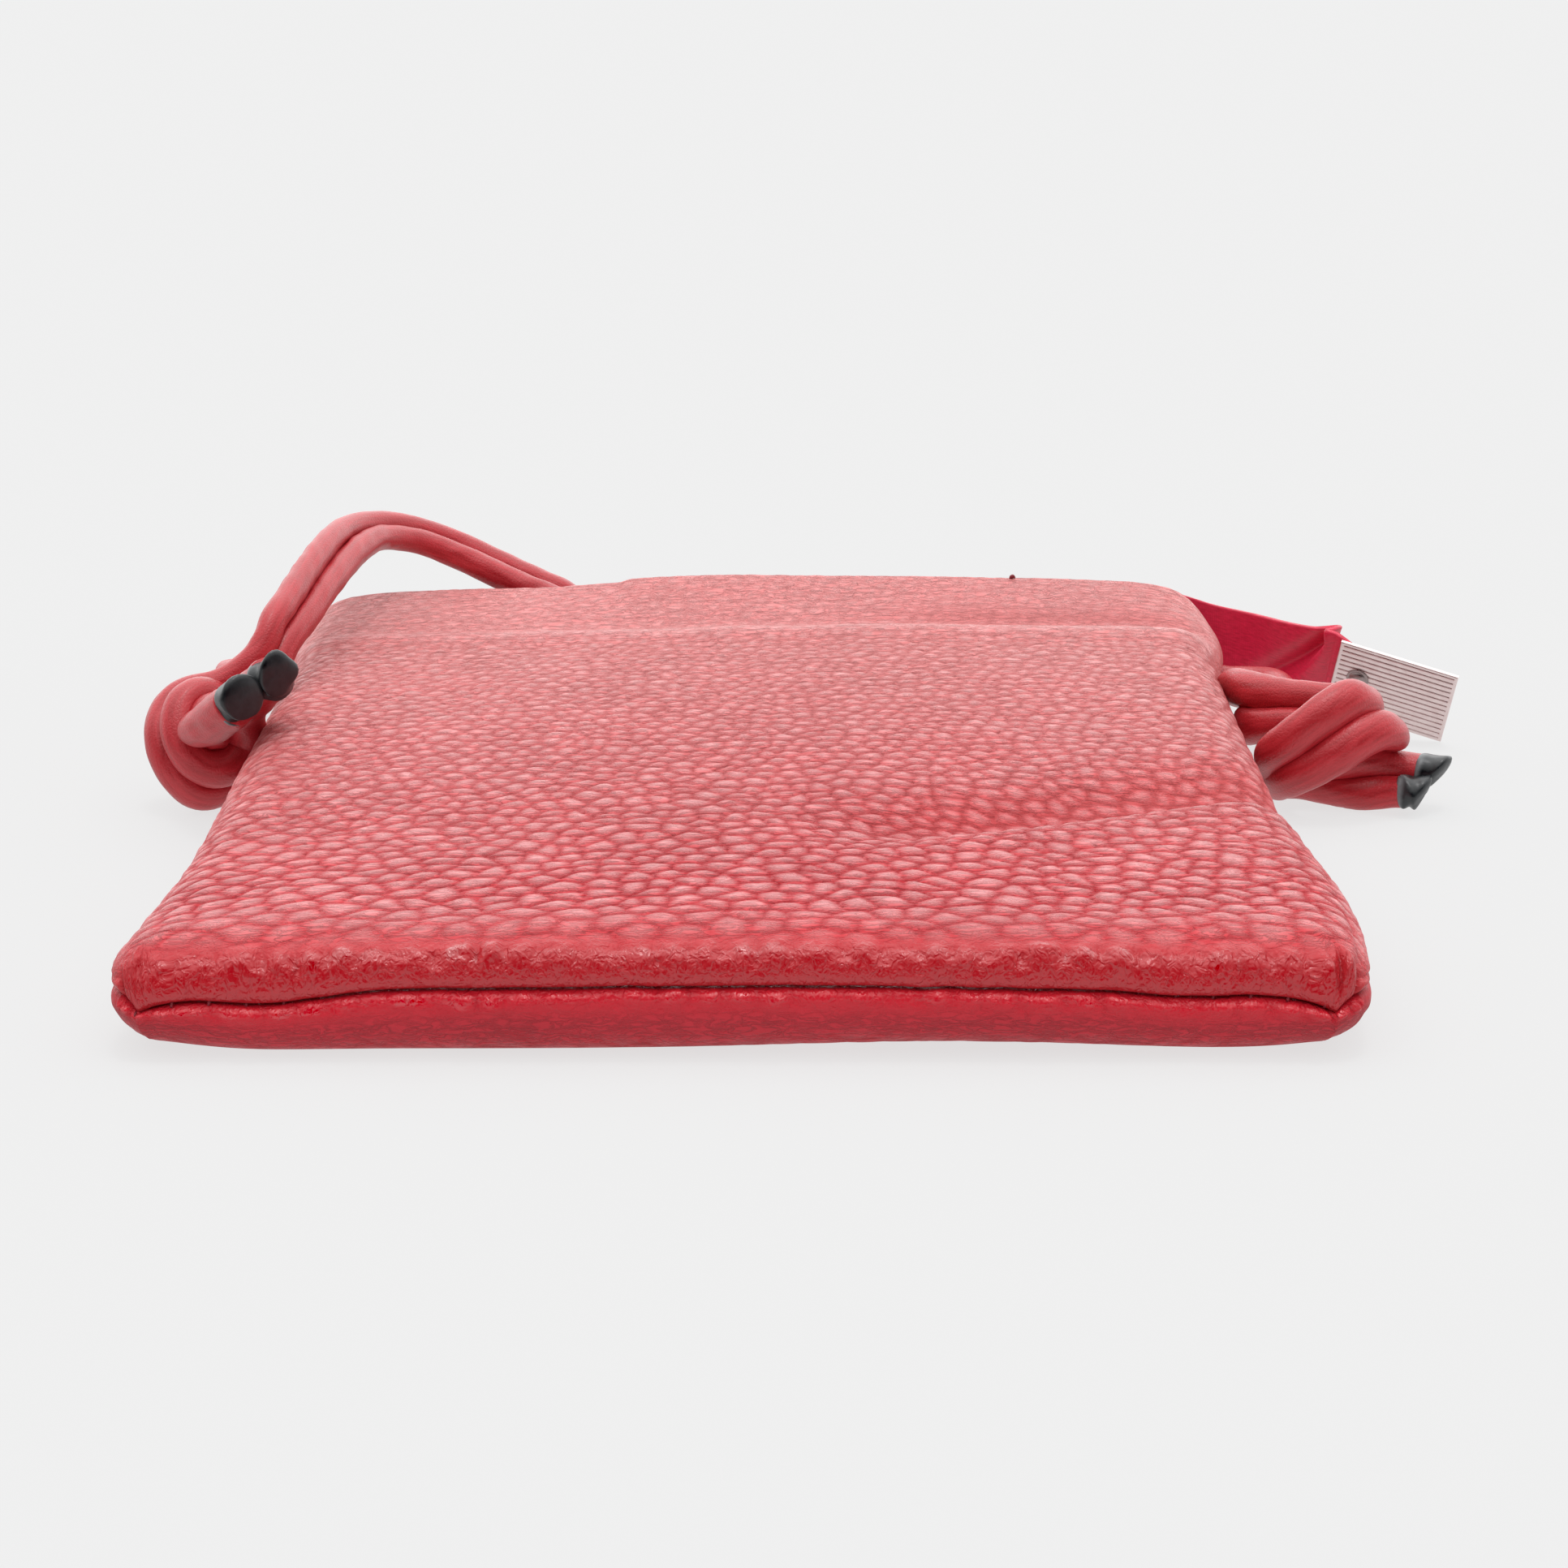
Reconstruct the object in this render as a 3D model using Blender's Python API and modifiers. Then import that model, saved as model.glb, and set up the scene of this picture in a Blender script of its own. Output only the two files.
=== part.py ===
"""Kinchaku drawstring pouch: pebbled leather panels, satin lining, two drawcords and a ribbed tag.

Metres, +Z up. X runs across the pouch, Y from the closed bottom edge to the mouth, and the pouch
lies on its back panel on z = 0. The origin is on the floor under the middle of the pouch.
"""

import math

import bmesh
import bpy
import numpy as np
from mathutils import Matrix, Vector
from mathutils.geometry import interpolate_bezier

# The pouch as a whole
POUCH_WIDTH = 0.163        # over the two bottom corners
POUCH_LENGTH = 0.180       # closed bottom edge to mouth edge
SIDE_WAIST = 0.0035        # how far each side draws in above its corner
WAIST_REACH = 0.42         # over this share of the length
MOUTH_FLARE = 0.0005       # how far each side comes out again at the mouth
MOUTH_CORNER = 0.080       # where the cord and tab tables are measured from, beside the middle line
SIDE_SWAY = 0.0014         # the lower half lies this much to the right
SWAY_CENTRE = -0.054
SWAY_SPREAD = 0.028
SEAM_HEIGHT = 0.0084       # floor to the seam between the panels
SEAM_MOUTH_RISE = 0.0009   # the seam climbs this much towards the mouth
SEAM_MIDDLE_RISE = 0.0015  # the bottom seam bows up in its middle
SEAM_MIDDLE_BAND = 0.012   # over this much of the length
SEAM_CORNER_DIP = 0.0015   # and dips at its corners
SEAM_DIP_SPREAD = 0.006
SEAM_WAVES = ((-0.060, 0.0015), (0.056, 0.0006))  # it sags at these places, by this much
SEAM_WAVE_SPREAD = 0.009

# Height of the top of the front panel above the floor
TOP_AT_BOTTOM = 0.0158
TOP_AT_CREASE = 0.0188
TOP_AT_MOUTH = 0.0230
CROWN = 0.0012             # the middle stands this much above the sides
MOUTH_CROWN = 0.0026       # and this much at the mouth
MOUTH_TILT = 0.0016        # the right half of the mouth stands higher than the left

# Walls and edges
LEATHER = 0.0013
LINING = 0.0004
BAND = 0.0005              # satin band that closes each cord channel
LINING_SLACK = 0.0004      # how far the loose linings pucker into the pouch
PUCKER_ACROSS = 260.0      # waves of that pucker, in radians per metre
PUCKER_SLANT = 90.0
PUCKER_UP = 210.0
FIT_GAP = 0.0003           # clearance between pieces that lie on each other
EDGE_ROLL = 0.009          # width over which a turned edge curves down to the seam
EDGE_FULLNESS = 2.0        # power of that curve: 2 is an ellipse, more is squarer
UNDER_FULLNESS = 2.7       # the lower half is pressed squarer by the floor
CORNER_FULLNESS = 3.4      # the same for the plan of the bottom corners
SEAM_GROOVE = 0.0020       # how far the seam lies inside the outline
SEAM_ALLOWANCE = 0.0030    # leather turned in behind the seam
PLEAT_DEPTH = 0.0006       # tucks at the bottom corners

# Cord channel along the mouth
CHANNEL_WIDTH = 0.020      # stitched crease to mouth edge
CHANNEL_END = 0.0168       # the channel stops this far inside each side
SLOT_HEIGHT = 0.0060       # open side slot where the cords leave
CORD = 0.0048              # diameter of a drawcord strand
CORD_CLEARANCE = 0.0003
STRAND_GAP = 0.0006        # between the two strands of a pair
SLOT_RIM = 0.0006          # leather turned in beside the open slot
SLOT_SHORT = 0.0035        # the slot starts to open this far below the crease
SLOT_FULL = 0.0012         # and is fully open this far above it
CORD_PROUD = 0.0008        # a held cord ends this far outside its slot
STRAND_START = 0.0007      # and its free strands start this much further out, as their ends lean
CORD_INSET = 0.0045        # and is straight for this much of its slot
CORD_SPLAY = 0.0105        # its strands draw together this far inside the slot
TURN_REACH = 0.0085        # how far a held cord's turn bows out beyond the channel
TURN_SHOULDER = 0.0062
BAND_OVERLAP = 0.0022      # band sewn down this far below the crease
BAND_LIP = 0.0003          # and this far inside the mouth edge

# The fold on the right half: a ridge with a hollow behind it
FOLD_START = Vector((0.015, -0.0505))
FOLD_END = Vector((0.070, -0.027))
FOLD_RIDGE = 0.0007
FOLD_RIDGE_SPREAD = 0.006
FOLD_HOLLOW = 0.0026
FOLD_HOLLOW_SPREAD = 0.0085
HOLLOW_BEHIND = 0.010      # ridge line to the bottom of the hollow

# The lift of the underside along the bottom edge
UNDERSIDE_LIFT = 0.0012
LIFT_CENTRE = 0.026
LIFT_SPREAD = 0.028
LIFT_FROM = 0.004          # the lift fades out between these two distances from the edge
LIFT_TO = 0.026

# Tab and tag
TAB_THICKNESS = 0.0009
TAG_LENGTH = 0.0205
TAG_HEIGHT = 0.0140
TAG_THICKNESS = 0.0012
TAG_RIBS = 13
RIB_DEPTH = 0.00035
RIB_BEVEL = 0.18           # share of a rib's width that slopes, at each side
RIVET_DIAMETER = 0.0034
RIVET_RISE = 0.0009
RIVET_ALONG = 0.0042       # rivet to the tab end of the plate
RIVET_UP = 0.0070          # rivet to the lower long edge of the plate

# Knots and cord ends
KNOT_CORE = 0.0100         # solid middle of a tight knot
KNOT_VOXEL = 0.0009
KNOT_SHARE = 0.22
KNOT_TAIL_GAP = 0.0007
TIP_DIAMETER = 0.0056      # rubber dip over a cord end
TIP_LENGTH = 0.0042
TIP_GAP = 0.0003

# Mesh fineness
ROW_BEFORE_CREASE = 0.004
TUBE_SPACING = 1.0         # points of a free cord, in cord diameters
HELD_SPACING = 1.1
KNOT_SPACING = 0.5
TAIL_SPACING = 0.8
WELD = 0.000001
COLUMNS = 20
LINING_COLUMNS = 12
ROWS_BELOW_CREASE = 15
ROWS_IN_CHANNEL = 5
CORNER_STEPS = 4
FINE_STEPS = 20

HALF_WIDTH = POUCH_WIDTH / 2
BOTTOM_Y = -POUCH_LENGTH / 2
MOUTH_Y = POUCH_LENGTH / 2
CREASE_Y = MOUTH_Y - CHANNEL_WIDTH

# Where the two cords run in the channel: the left cord near the mouth, the right cord below it
LEFT_CORD_Y = MOUTH_Y - 0.0050
LEFT_CORD_SHIFT = 0.0005   # its slot end lies this much nearer the mouth
RIGHT_CORD_Y = MOUTH_Y - 0.0132
MM = 0.001

# Routes of the two tied pairs. Each row is the middle of the pair, in millimetres from the floor under
# the mouth's corner on its side, and the way from its second strand to its first. The free rows run
# from just outside the side slot to the knot.
LEFT_FREE = (
    ((-6.0, -3.5, 8.8), (-0.8, -2.5, 0.0)),
    ((-10.3, 0.7, 7.5), (-2.4, -1.1, 0.0)),
    ((-10.8, 7.2, 6.0), (-2.6, 0.3, 0.0)),
    ((-6.4, 13.3, 4.6), (-1.8, 1.9, 0.0)),
    ((2.0, 16.8, 3.4), (-0.6, 2.5, 0.2)),
    ((14.0, 17.9, 3.0), (0.0, 2.6, 0.2)),
    ((28.0, 17.5, 3.7), (0.0, 2.6, 0.2)),
    ((40.0, 16.0, 6.2), (0.0, 2.6, 0.3)),
    ((48.0, 14.0, 11.5), (0.0, 2.6, 0.3)),
    ((47.5, 11.5, 17.2), (0.0, 2.6, 0.3)),
    ((41.4, 10.4, 20.6), (0.0, 2.5, 0.4)),
    ((35.0, 9.5, 23.8), (0.0, 2.5, 0.4)),
    ((29.0, 8.4, 27.0), (0.0, 2.5, 0.5)),
    ((23.4, 6.5, 29.9), (0.0, 2.5, 0.6)),
    ((18.8, 3.5, 31.8), (-0.3, 2.4, 0.8)),
    ((15.2, -0.9, 33.1), (-1.0, 2.1, 1.0)),
    ((12.8, -6.5, 33.7), (-1.7, 1.4, 1.2)),
    ((11.0, -13.5, 33.6), (-2.0, 0.6, 1.4)),
    ((9.4, -22.5, 32.6), (-2.0, -0.2, 1.6)),
    ((7.6, -33.0, 30.6), (-1.8, -0.6, 1.7)),
    ((5.8, -42.5, 28.2), (-1.5, -0.7, 1.9)),
    ((4.0, -48.7, 25.9), (-1.1, -0.5, 2.2)),
)
LEFT_TIE = (
    ((0.4, -52.9, 22.9), (-0.7, 0.4, 2.5)),
    ((-6.5, -56.6, 19.5), (-0.3, 1.8, 1.7)),
    ((-9.9, -57.7, 18.3), (-1.3, 1.7, 1.5)),
    ((-12.3, -60.3, 16.4), (-2.2, 1.3, 0.6)),
    ((-12.4, -63.6, 12.4), (-2.4, 0.6, -0.6)),
    ((-9.8, -65.4, 7.6), (-1.7, 0.5, -1.8)),
    ((-5.8, -64.7, 5.1), (-0.9, 1.0, -2.2)),
    ((-2.6, -62.0, 6.6), (-0.2, 1.4, -2.1)),
    ((-1.8, -59.7, 11.3), (0.3, 2.2, -1.3)),
    ((-3.5, -59.7, 16.2), (-0.4, 2.5, 0.1)),
    ((-6.1, -61.5, 18.1), (-1.3, 2.1, 0.7)),
    ((-7.9, -64.2, 17.0), (-2.2, 1.3, 0.5)),
    ((-7.5, -66.6, 13.8), (-2.4, 0.2, -0.9)),
    ((-5.2, -67.2, 11.2), (-1.2, -0.1, -2.2)),
    ((-3.0, -65.9, 11.0), (0.2, 0.2, -2.5)),
    ((-2.6, -64.4, 13.2), (1.7, 1.2, -1.4)),
    ((-2.6, -69.3, 16.4), (2.2, 1.2, 0.6)),
)
LEFT_TAIL = (
    ((-0.4, -73.1, 19.2), (2.2, 1.2, 1.2)),
    ((1.6, -76.3, 21.3), (2.2, 1.3, 1.3)),
    ((4.0, -79.9, 23.8), (2.2, 1.3, 1.4)),
    ((6.1, -83.1, 25.9), (2.3, 1.3, 1.4)),
)
RIGHT_FREE = (
    ((2.9, -13.2, 9.2), (0.0, -1.0, 0.0)),
    ((6.0, -15.5, 9.0), (-0.7, -0.7, 0.1)),
    ((7.6, -20.1, 9.2), (-1.0, -0.2, 0.4)),
    ((6.8, -26.5, 9.8), (-0.9, 0.2, 0.6)),
    ((4.9, -33.0, 10.4), (-0.4, 0.2, 0.9)),
    ((3.7, -39.0, 11.1), (0.0, 0.4, 1.0)),
    ((4.6, -44.7, 12.2), (0.3, 1.1, 2.3)),
    ((7.4, -48.5, 13.3), (0.2, 1.1, 2.3)),
)
RIGHT_TIE = (
    ((9.6, -50.1, 13.6), (0.0, 1.2, 2.3)),
    ((13.0, -51.9, 13.5), (-0.2, 1.2, 2.3)),
    ((16.6, -54.1, 13.3), (-0.7, 1.1, 2.2)),
    ((19.2, -58.1, 13.9), (-1.5, 0.6, 2.1)),
    ((19.0, -63.5, 15.6), (-1.8, 0.3, 1.9)),
    ((15.4, -67.7, 16.9), (-1.6, 0.3, 2.1)),
    ((9.8, -70.4, 14.1), (-1.4, 0.2, 2.2)),
    ((5.0, -69.4, 10.4), (-1.3, -0.2, 2.3)),
    ((2.9, -64.7, 7.4), (-1.0, -0.8, 2.3)),
    ((3.8, -59.9, 5.1), (-0.5, -1.7, 1.9)),
    ((7.8, -58.6, 4.8), (0.0, -1.8, 1.8)),
    ((12.6, -59.9, 4.9), (0.2, -1.0, 2.3)),
    ((17.0, -61.1, 5.1), (0.4, 0.6, 2.4)),
)
RIGHT_TAIL = (
    ((20.6, -61.9, 4.9), (0.8, 1.7, 2.0)),
    ((22.4, -62.5, 4.8), (1.0, 2.1, 1.8)),
    ((24.6, -63.5, 4.7), (1.0, 2.2, 1.7)),
    ((27.0, -64.6, 4.6), (1.0, 2.2, 1.7)),
)

# The tab's lower and upper edge, from inside the mouth to behind the tag plate, in millimetres from the
# floor under the mouth's right corner
TAB_ROUTE = (
    ((-32.0, 0.9, 9.5), (-32.0, 0.9, 21.3)),
    ((-22.0, 0.9, 9.5), (-22.0, 0.9, 21.3)),
    ((-14.0, 1.8, 9.3), (-14.0, 1.8, 21.4)),
    ((-7.0, 2.8, 8.6), (-7.0, 2.7, 21.3)),
    ((1.4, 2.1, 6.2), (1.4, 2.5, 18.9)),
    ((9.5, -1.5, 5.2), (9.3, -2.5, 17.9)),
    ((15.5, -6.5, 5.0), (16.2, -9.5, 17.8)),
    ((18.6, -10.5, 5.4), (19.2, -15.0, 18.2)),
    ((19.2, -12.8, 6.1), (20.4, -18.3, 17.9)),
    ((25.2, -14.8, 4.6), (26.4, -20.2, 16.4)),
)
TAG_CORNER = (18.6, -13.8, 5.2)    # lower corner at the tab, from the same place
TAG_RUN = (0.925, -0.300, -0.235)  # along the plate, away from the tab
TAG_LEAN = (0.050, -0.400, 0.910)  # up the plate


def smooth_step(low, high, value):
    """0 below low, 1 above high, and a smooth S between."""
    t = min(1.0, max(0.0, (value - low) / (high - low)))
    return t * t * (3 - 2 * t)


def bell(value, centre, spread):
    return math.exp(-(((value - centre) / spread) ** 2))


def along(y):
    """0 at the bottom edge, 1 at the mouth."""
    return (y - BOTTOM_Y) / POUCH_LENGTH


def half_width(y):
    t = along(y)
    waist = SIDE_WAIST * smooth_step(0.0, WAIST_REACH, t)
    return HALF_WIDTH - waist + MOUTH_FLARE * smooth_step(0.6, 1.0, t)


def sway(y):
    """How far to the right the middle of the pouch lies."""
    return SIDE_SWAY * bell(y, SWAY_CENTRE, SWAY_SPREAD)


def seam_height(x, y):
    rise = SEAM_MOUTH_RISE * smooth_step(0.1, 0.95, along(y))
    bottom = 1 - smooth_step(0.0, SEAM_MIDDLE_BAND, y - BOTTOM_Y)
    middle = SEAM_MIDDLE_RISE * (1 - (abs(x) / HALF_WIDTH) ** 2)
    for centre, depth in SEAM_WAVES:
        middle -= depth * bell(x, centre, SEAM_WAVE_SPREAD)
    from_corner = math.hypot(HALF_WIDTH - SEAM_GROOVE - abs(x), y - BOTTOM_Y)
    return SEAM_HEIGHT + rise + middle * bottom - SEAM_CORNER_DIP * bell(from_corner, 0.0, SEAM_DIP_SPREAD)


def slot_opening(y):
    """0 where the side seam is sewn, 1 where it is left open for the cords."""
    return smooth_step(CREASE_Y - SLOT_SHORT, CREASE_Y + SLOT_FULL, y)


def half_gap(y):
    return FIT_GAP / 2 + (SLOT_HEIGHT - FIT_GAP) / 2 * slot_opening(y)


def fold_relief(x, y):
    line = FOLD_END - FOLD_START
    offset = Vector((x, y)) - FOLD_START
    share = offset.dot(line) / line.length_squared
    behind = (line.x * offset.y - line.y * offset.x) / line.length
    strength = smooth_step(-0.15, 0.45, share)
    ridge = FOLD_RIDGE * bell(behind, 0.0, FOLD_RIDGE_SPREAD)
    hollow = FOLD_HOLLOW * bell(behind, HOLLOW_BEHIND, FOLD_HOLLOW_SPREAD)
    return strength * (ridge - hollow)


def top_height(x, y):
    """Outer surface of the front panel."""
    below_share = smooth_step(0.0, along(CREASE_Y), along(y))
    below = TOP_AT_BOTTOM + (TOP_AT_CREASE - TOP_AT_BOTTOM) * below_share
    climb = (TOP_AT_MOUTH - TOP_AT_CREASE) * max(0.0, y - CREASE_Y) / CHANNEL_WIDTH
    share = x / HALF_WIDTH
    swell = CROWN + (MOUTH_CROWN - CROWN) * smooth_step(CREASE_Y, MOUTH_Y, y)
    crown = swell * (0.5 - share * share)
    tilt = MOUTH_TILT * share * smooth_step(0.55, 1.0, along(y)) * (1 - 0.6 * abs(share) ** 3)
    return below + climb + crown + tilt + fold_relief(x, y)


def under_height(x, y):
    """Outer surface of the back panel: flat on the floor but for its lifted bottom edge."""
    near_edge = 1 - smooth_step(LIFT_FROM, LIFT_TO, y - BOTTOM_Y)
    return UNDERSIDE_LIFT * bell(x, LIFT_CENTRE, LIFT_SPREAD) * near_edge


def row_places():
    low = BOTTOM_Y + EDGE_ROLL
    below = np.linspace(low, CREASE_Y - ROW_BEFORE_CREASE, ROWS_BELOW_CREASE)
    channel = np.linspace(CREASE_Y, MOUTH_Y, ROWS_IN_CHANNEL + 1)
    return [float(y) for y in below] + [float(y) for y in channel]


def column_share(i, columns):
    return -1 + 2 * i / columns


def edge_stations(rows, columns):
    """Places round the sewn edge: left side, corner, bottom, corner, right side."""
    last = len(rows) - 1
    places = []
    for j in range(last, -1, -1):
        places.append((Vector((sway(rows[j]) - half_width(rows[j]), rows[j])), (0, j), False))
    reach = half_width(rows[0]) - EDGE_ROLL
    for side in (-1, 1):
        corner = (0, 0) if side < 0 else (columns, 0)
        inner = Vector((sway(rows[0]) + side * reach, rows[0]))
        for k in range(1, CORNER_STEPS + 1):
            step = k if side < 0 else CORNER_STEPS + 1 - k
            angle = math.pi / 2 * step / (CORNER_STEPS + 1)
            across = rounded(math.cos(angle), CORNER_FULLNESS)
            down = rounded(math.sin(angle), CORNER_FULLNESS)
            base = inner + Vector((side * across, -down)) * EDGE_ROLL
            places.append((base, corner, k % 2 == 1))
        if side < 0:
            for i in range(columns + 1):
                x = sway(rows[0]) + column_share(i, columns) * reach
                places.append((Vector((x, BOTTOM_Y)), (i, 0), False))
    for j in range(last + 1):
        places.append((Vector((sway(rows[j]) + half_width(rows[j]), rows[j])), (columns, j), False))
    return places


def rounded(value, fullness):
    """One coordinate of a curve between a circle, at 2, and a square corner."""
    return value ** (2 / fullness)


def panel_section(rise, gap, slot, pleat, fullness):
    """Turned edge of a leather panel, as (distance inside the outline, distance from the seam)."""
    flange = SEAM_ALLOWANCE * (1 - slot) + SLOT_RIM * slot
    bulge = gap + SEAM_GROOVE
    quarter = SEAM_GROOVE * (1 - math.sqrt(0.5))
    points = [(SEAM_GROOVE + flange, gap), (SEAM_GROOVE, gap), (quarter, gap + quarter), (0.0, bulge)]
    for degrees in (24, 47, 69):
        angle = math.radians(degrees)
        tuck = PLEAT_DEPTH * math.sin(2 * angle) if pleat else 0.0
        inside = EDGE_ROLL * (1 - rounded(math.cos(angle), fullness))
        points.append((inside + tuck, bulge + (rise - bulge) * rounded(math.sin(angle), fullness)))
    return points


def lining_section(rise, gap, slot, pleat, fullness):
    """Edge of a lining, which hangs inside the turned edge of its panel."""
    inner = SEAM_GROOVE + SEAM_ALLOWANCE + FIT_GAP
    low = gap + FIT_GAP / 2
    steps = ((LINING, 0.0), (0.0, 0.42), (1.5 * LINING, 0.8))
    return [(inner + inside, low + (rise - low) * share) for inside, share in steps]


def shell_mesh(name, rows, columns, section, height, sign, inset, slack=0.0):
    """Open surface of one half of the pouch: a grid of rows and columns with its curved edge.

    height gives the outer surface, inset how far inside it this surface lies, sign is +1 for the
    front half and -1 for the back half, and slack is how far a loose lining puckers inwards."""
    mesh = bpy.data.meshes.new(name)
    bm = bmesh.new()
    grid = {}
    for j, y in enumerate(rows):
        reach = half_width(y) - EDGE_ROLL
        for i in range(columns + 1):
            x = sway(y) + column_share(i, columns) * reach
            wave = math.sin(x * PUCKER_ACROSS + y * PUCKER_SLANT) * math.sin(y * PUCKER_UP)
            pucker = slack * (0.5 + 0.5 * wave)
            grid[i, j] = bm.verts.new((x, y, height(x, y) - sign * (inset + pucker)))
    for j in range(len(rows) - 1):
        for i in range(columns):
            bm.faces.new((grid[i, j], grid[i + 1, j], grid[i + 1, j + 1], grid[i, j + 1]))
    strips = []
    fullness = EDGE_FULLNESS if sign > 0 else UNDER_FULLNESS
    for base, inner, pleat in edge_stations(rows, columns):
        seam = seam_height(base.x, base.y)
        top = grid[inner]
        rise = sign * (top.co.z - seam)
        strip = []
        for inside, up in section(rise, half_gap(base.y), slot_opening(base.y), pleat, fullness):
            place = base.lerp(top.co.xy, inside / EDGE_ROLL)
            strip.append(bm.verts.new((place.x, place.y, seam + sign * up)))
        strip.append(top)
        strips.append(strip)
    for a, b in zip(strips, strips[1:]):
        for k in range(len(a) - 1):
            corners = [a[k], b[k], b[k + 1], a[k + 1]]
            if a[k + 1] is b[k + 1]:
                corners = [a[k], b[k], b[k + 1]]
            bm.faces.new(corners)
    bmesh.ops.recalc_face_normals(bm, faces=bm.faces)
    bm.faces.ensure_lookup_table()
    if bm.faces[0].normal.z * sign < 0:
        bmesh.ops.reverse_faces(bm, faces=bm.faces)
    bm.to_mesh(mesh)
    bm.free()
    mesh.shade_smooth()
    return mesh


def add_object(name, data, material, collection):
    made = bpy.data.objects.new(name, data)
    data.materials.append(material)
    collection.objects.link(made)
    return made


def add_solidify(item, thickness):
    layer = item.modifiers.new("thickness", "SOLIDIFY")
    layer.thickness = thickness
    layer.offset = -1
    layer.use_even_offset = True
    return layer


def make_material(name, colour, roughness, metallic=0.0):
    material = bpy.data.materials.new(name)
    material.use_nodes = True
    shader = material.node_tree.nodes["Principled BSDF"]
    shader.inputs["Base Color"].default_value = (*colour, 1)
    shader.inputs["Roughness"].default_value = roughness
    shader.inputs["Metallic"].default_value = metallic
    material.diffuse_color = (*colour, 1)
    return material


def make_panels(collection):
    leather_front = make_material("front_leather", (0.56, 0.045, 0.06), 0.5)
    leather_back = make_material("back_leather", (0.48, 0.03, 0.045), 0.5)
    satin_front = make_material("front_satin", (0.38, 0.01, 0.04), 0.4)
    satin_back = make_material("back_satin", (0.36, 0.01, 0.04), 0.4)
    rows = row_places()
    lined = rows[:ROWS_BELOW_CREASE]
    skin = LEATHER + FIT_GAP
    halves = (
        ("front", top_height, 1, leather_front, satin_front),
        ("back", under_height, -1, leather_back, satin_back),
    )
    for half, height, sign, leather, satin in halves:
        outer = shell_mesh(f"{half}_panel", rows, COLUMNS, panel_section, height, sign, 0.0)
        add_solidify(add_object(f"{half}_panel", outer, leather, collection), LEATHER)
        inner = shell_mesh(
            f"{half}_lining", lined, LINING_COLUMNS, lining_section, height, sign, skin, LINING_SLACK
        )
        add_solidify(add_object(f"{half}_lining", inner, satin, collection), LINING)


def make_channel_bands(collection):
    """Satin bands that close the two cord channels on the inside of the mouth."""
    skin = LEATHER + FIT_GAP
    depth = skin + CORD + 2 * CORD_CLEARANCE
    profile = (
        (CREASE_Y - BAND_OVERLAP, skin),
        (CREASE_Y + BAND, skin + (depth - skin) * 0.30),
        (RIGHT_CORD_Y - CORD / 2 - BAND, depth),
        (RIGHT_CORD_Y + CORD / 2, depth),
        (LEFT_CORD_Y - CORD / 2, depth),
        (LEFT_CORD_Y + CORD / 2 + BAND, depth),
        (MOUTH_Y - BAND_LIP, skin + (depth - skin) * 0.10),
    )
    for half, height, sign in (("front", top_height, 1), ("back", under_height, -1)):
        satin = make_material(f"{half}_band_satin", (0.40, 0.012, 0.045), 0.4)
        bm = bmesh.new()
        lines = []
        for y, drop in profile:
            reach = half_width(y) - CHANNEL_END
            line = []
            for i in range(COLUMNS + 1):
                x = column_share(i, COLUMNS) * reach
                line.append(bm.verts.new((x, y, height(x, y) - sign * drop)))
            lines.append(line)
        for low, high in zip(lines, lines[1:]):
            for i in range(COLUMNS):
                bm.faces.new((low[i], low[i + 1], high[i + 1], high[i]))
        if sign < 0:
            bmesh.ops.reverse_faces(bm, faces=bm.faces)
        mesh = bpy.data.meshes.new(f"{half}_channel_band")
        bm.to_mesh(mesh)
        bm.free()
        add_solidify(add_object(f"{half}_channel_band", mesh, satin, collection), BAND)


def fine_route(points):
    """A smooth curve through the points: its places, how far along it each is, and each point's share."""
    knots = [Vector(p) for p in points]
    ends = [knots[0] * 2 - knots[1]] + knots + [knots[-1] * 2 - knots[-2]]
    fine = [knots[0]]
    for a, b, c, d in zip(ends, ends[1:], ends[2:], ends[3:]):
        reach = (c - b).length / 3
        leave = (c - a).normalized() * reach
        arrive = (d - b).normalized() * reach
        fine += interpolate_bezier(b, b + leave, c - arrive, c, FINE_STEPS + 1)[1:]
    lengths = [0.0]
    for a, b in zip(fine, fine[1:]):
        lengths.append(lengths[-1] + (b - a).length)
    return fine, lengths, lengths[::FINE_STEPS]


def cut_route(fine, lengths, start, end, spacing):
    """Places along a fine route from one length to another, about one spacing apart."""
    count = max(2, round((end - start) / spacing))
    wanted = np.linspace(start, end, count + 1)
    axes = [np.interp(wanted, lengths, [place[axis] for place in fine]) for axis in range(3)]
    return [tuple(float(value) for value in place) for place in zip(*axes)]


def smooth_route(points, spacing):
    fine, lengths, _ = fine_route(points)
    return cut_route(fine, lengths, 0.0, lengths[-1], spacing)


def make_tube(name, route, diameter, material, collection, sides=2):
    curve = bpy.data.curves.new(name, "CURVE")
    curve.dimensions = "3D"
    spline = curve.splines.new("POLY")
    spline.points.add(len(route) - 1)
    for point, place in zip(spline.points, route):
        point.co = (*place, 1)
    curve.bevel_depth = diameter / 2
    curve.bevel_resolution = sides
    curve.use_fill_caps = True
    return add_object(name, curve, material, collection)


def channel_level(y, half):
    """Height of a cord's centre in the front or back channel."""
    drop = LEATHER + FIT_GAP + CORD_CLEARANCE + CORD / 2
    if half == "front":
        return lambda x: top_height(x, y) - drop
    return lambda x: under_height(x, y) + drop


def slot_exit(side):
    """Middle of the pair where a cord leaves its side slot."""
    y = LEFT_CORD_Y + LEFT_CORD_SHIFT if side < 0 else RIGHT_CORD_Y
    return Vector((side * (half_width(MOUTH_Y) + CORD_PROUD), y, seam_height(MOUTH_CORNER, MOUTH_Y)))


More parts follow.
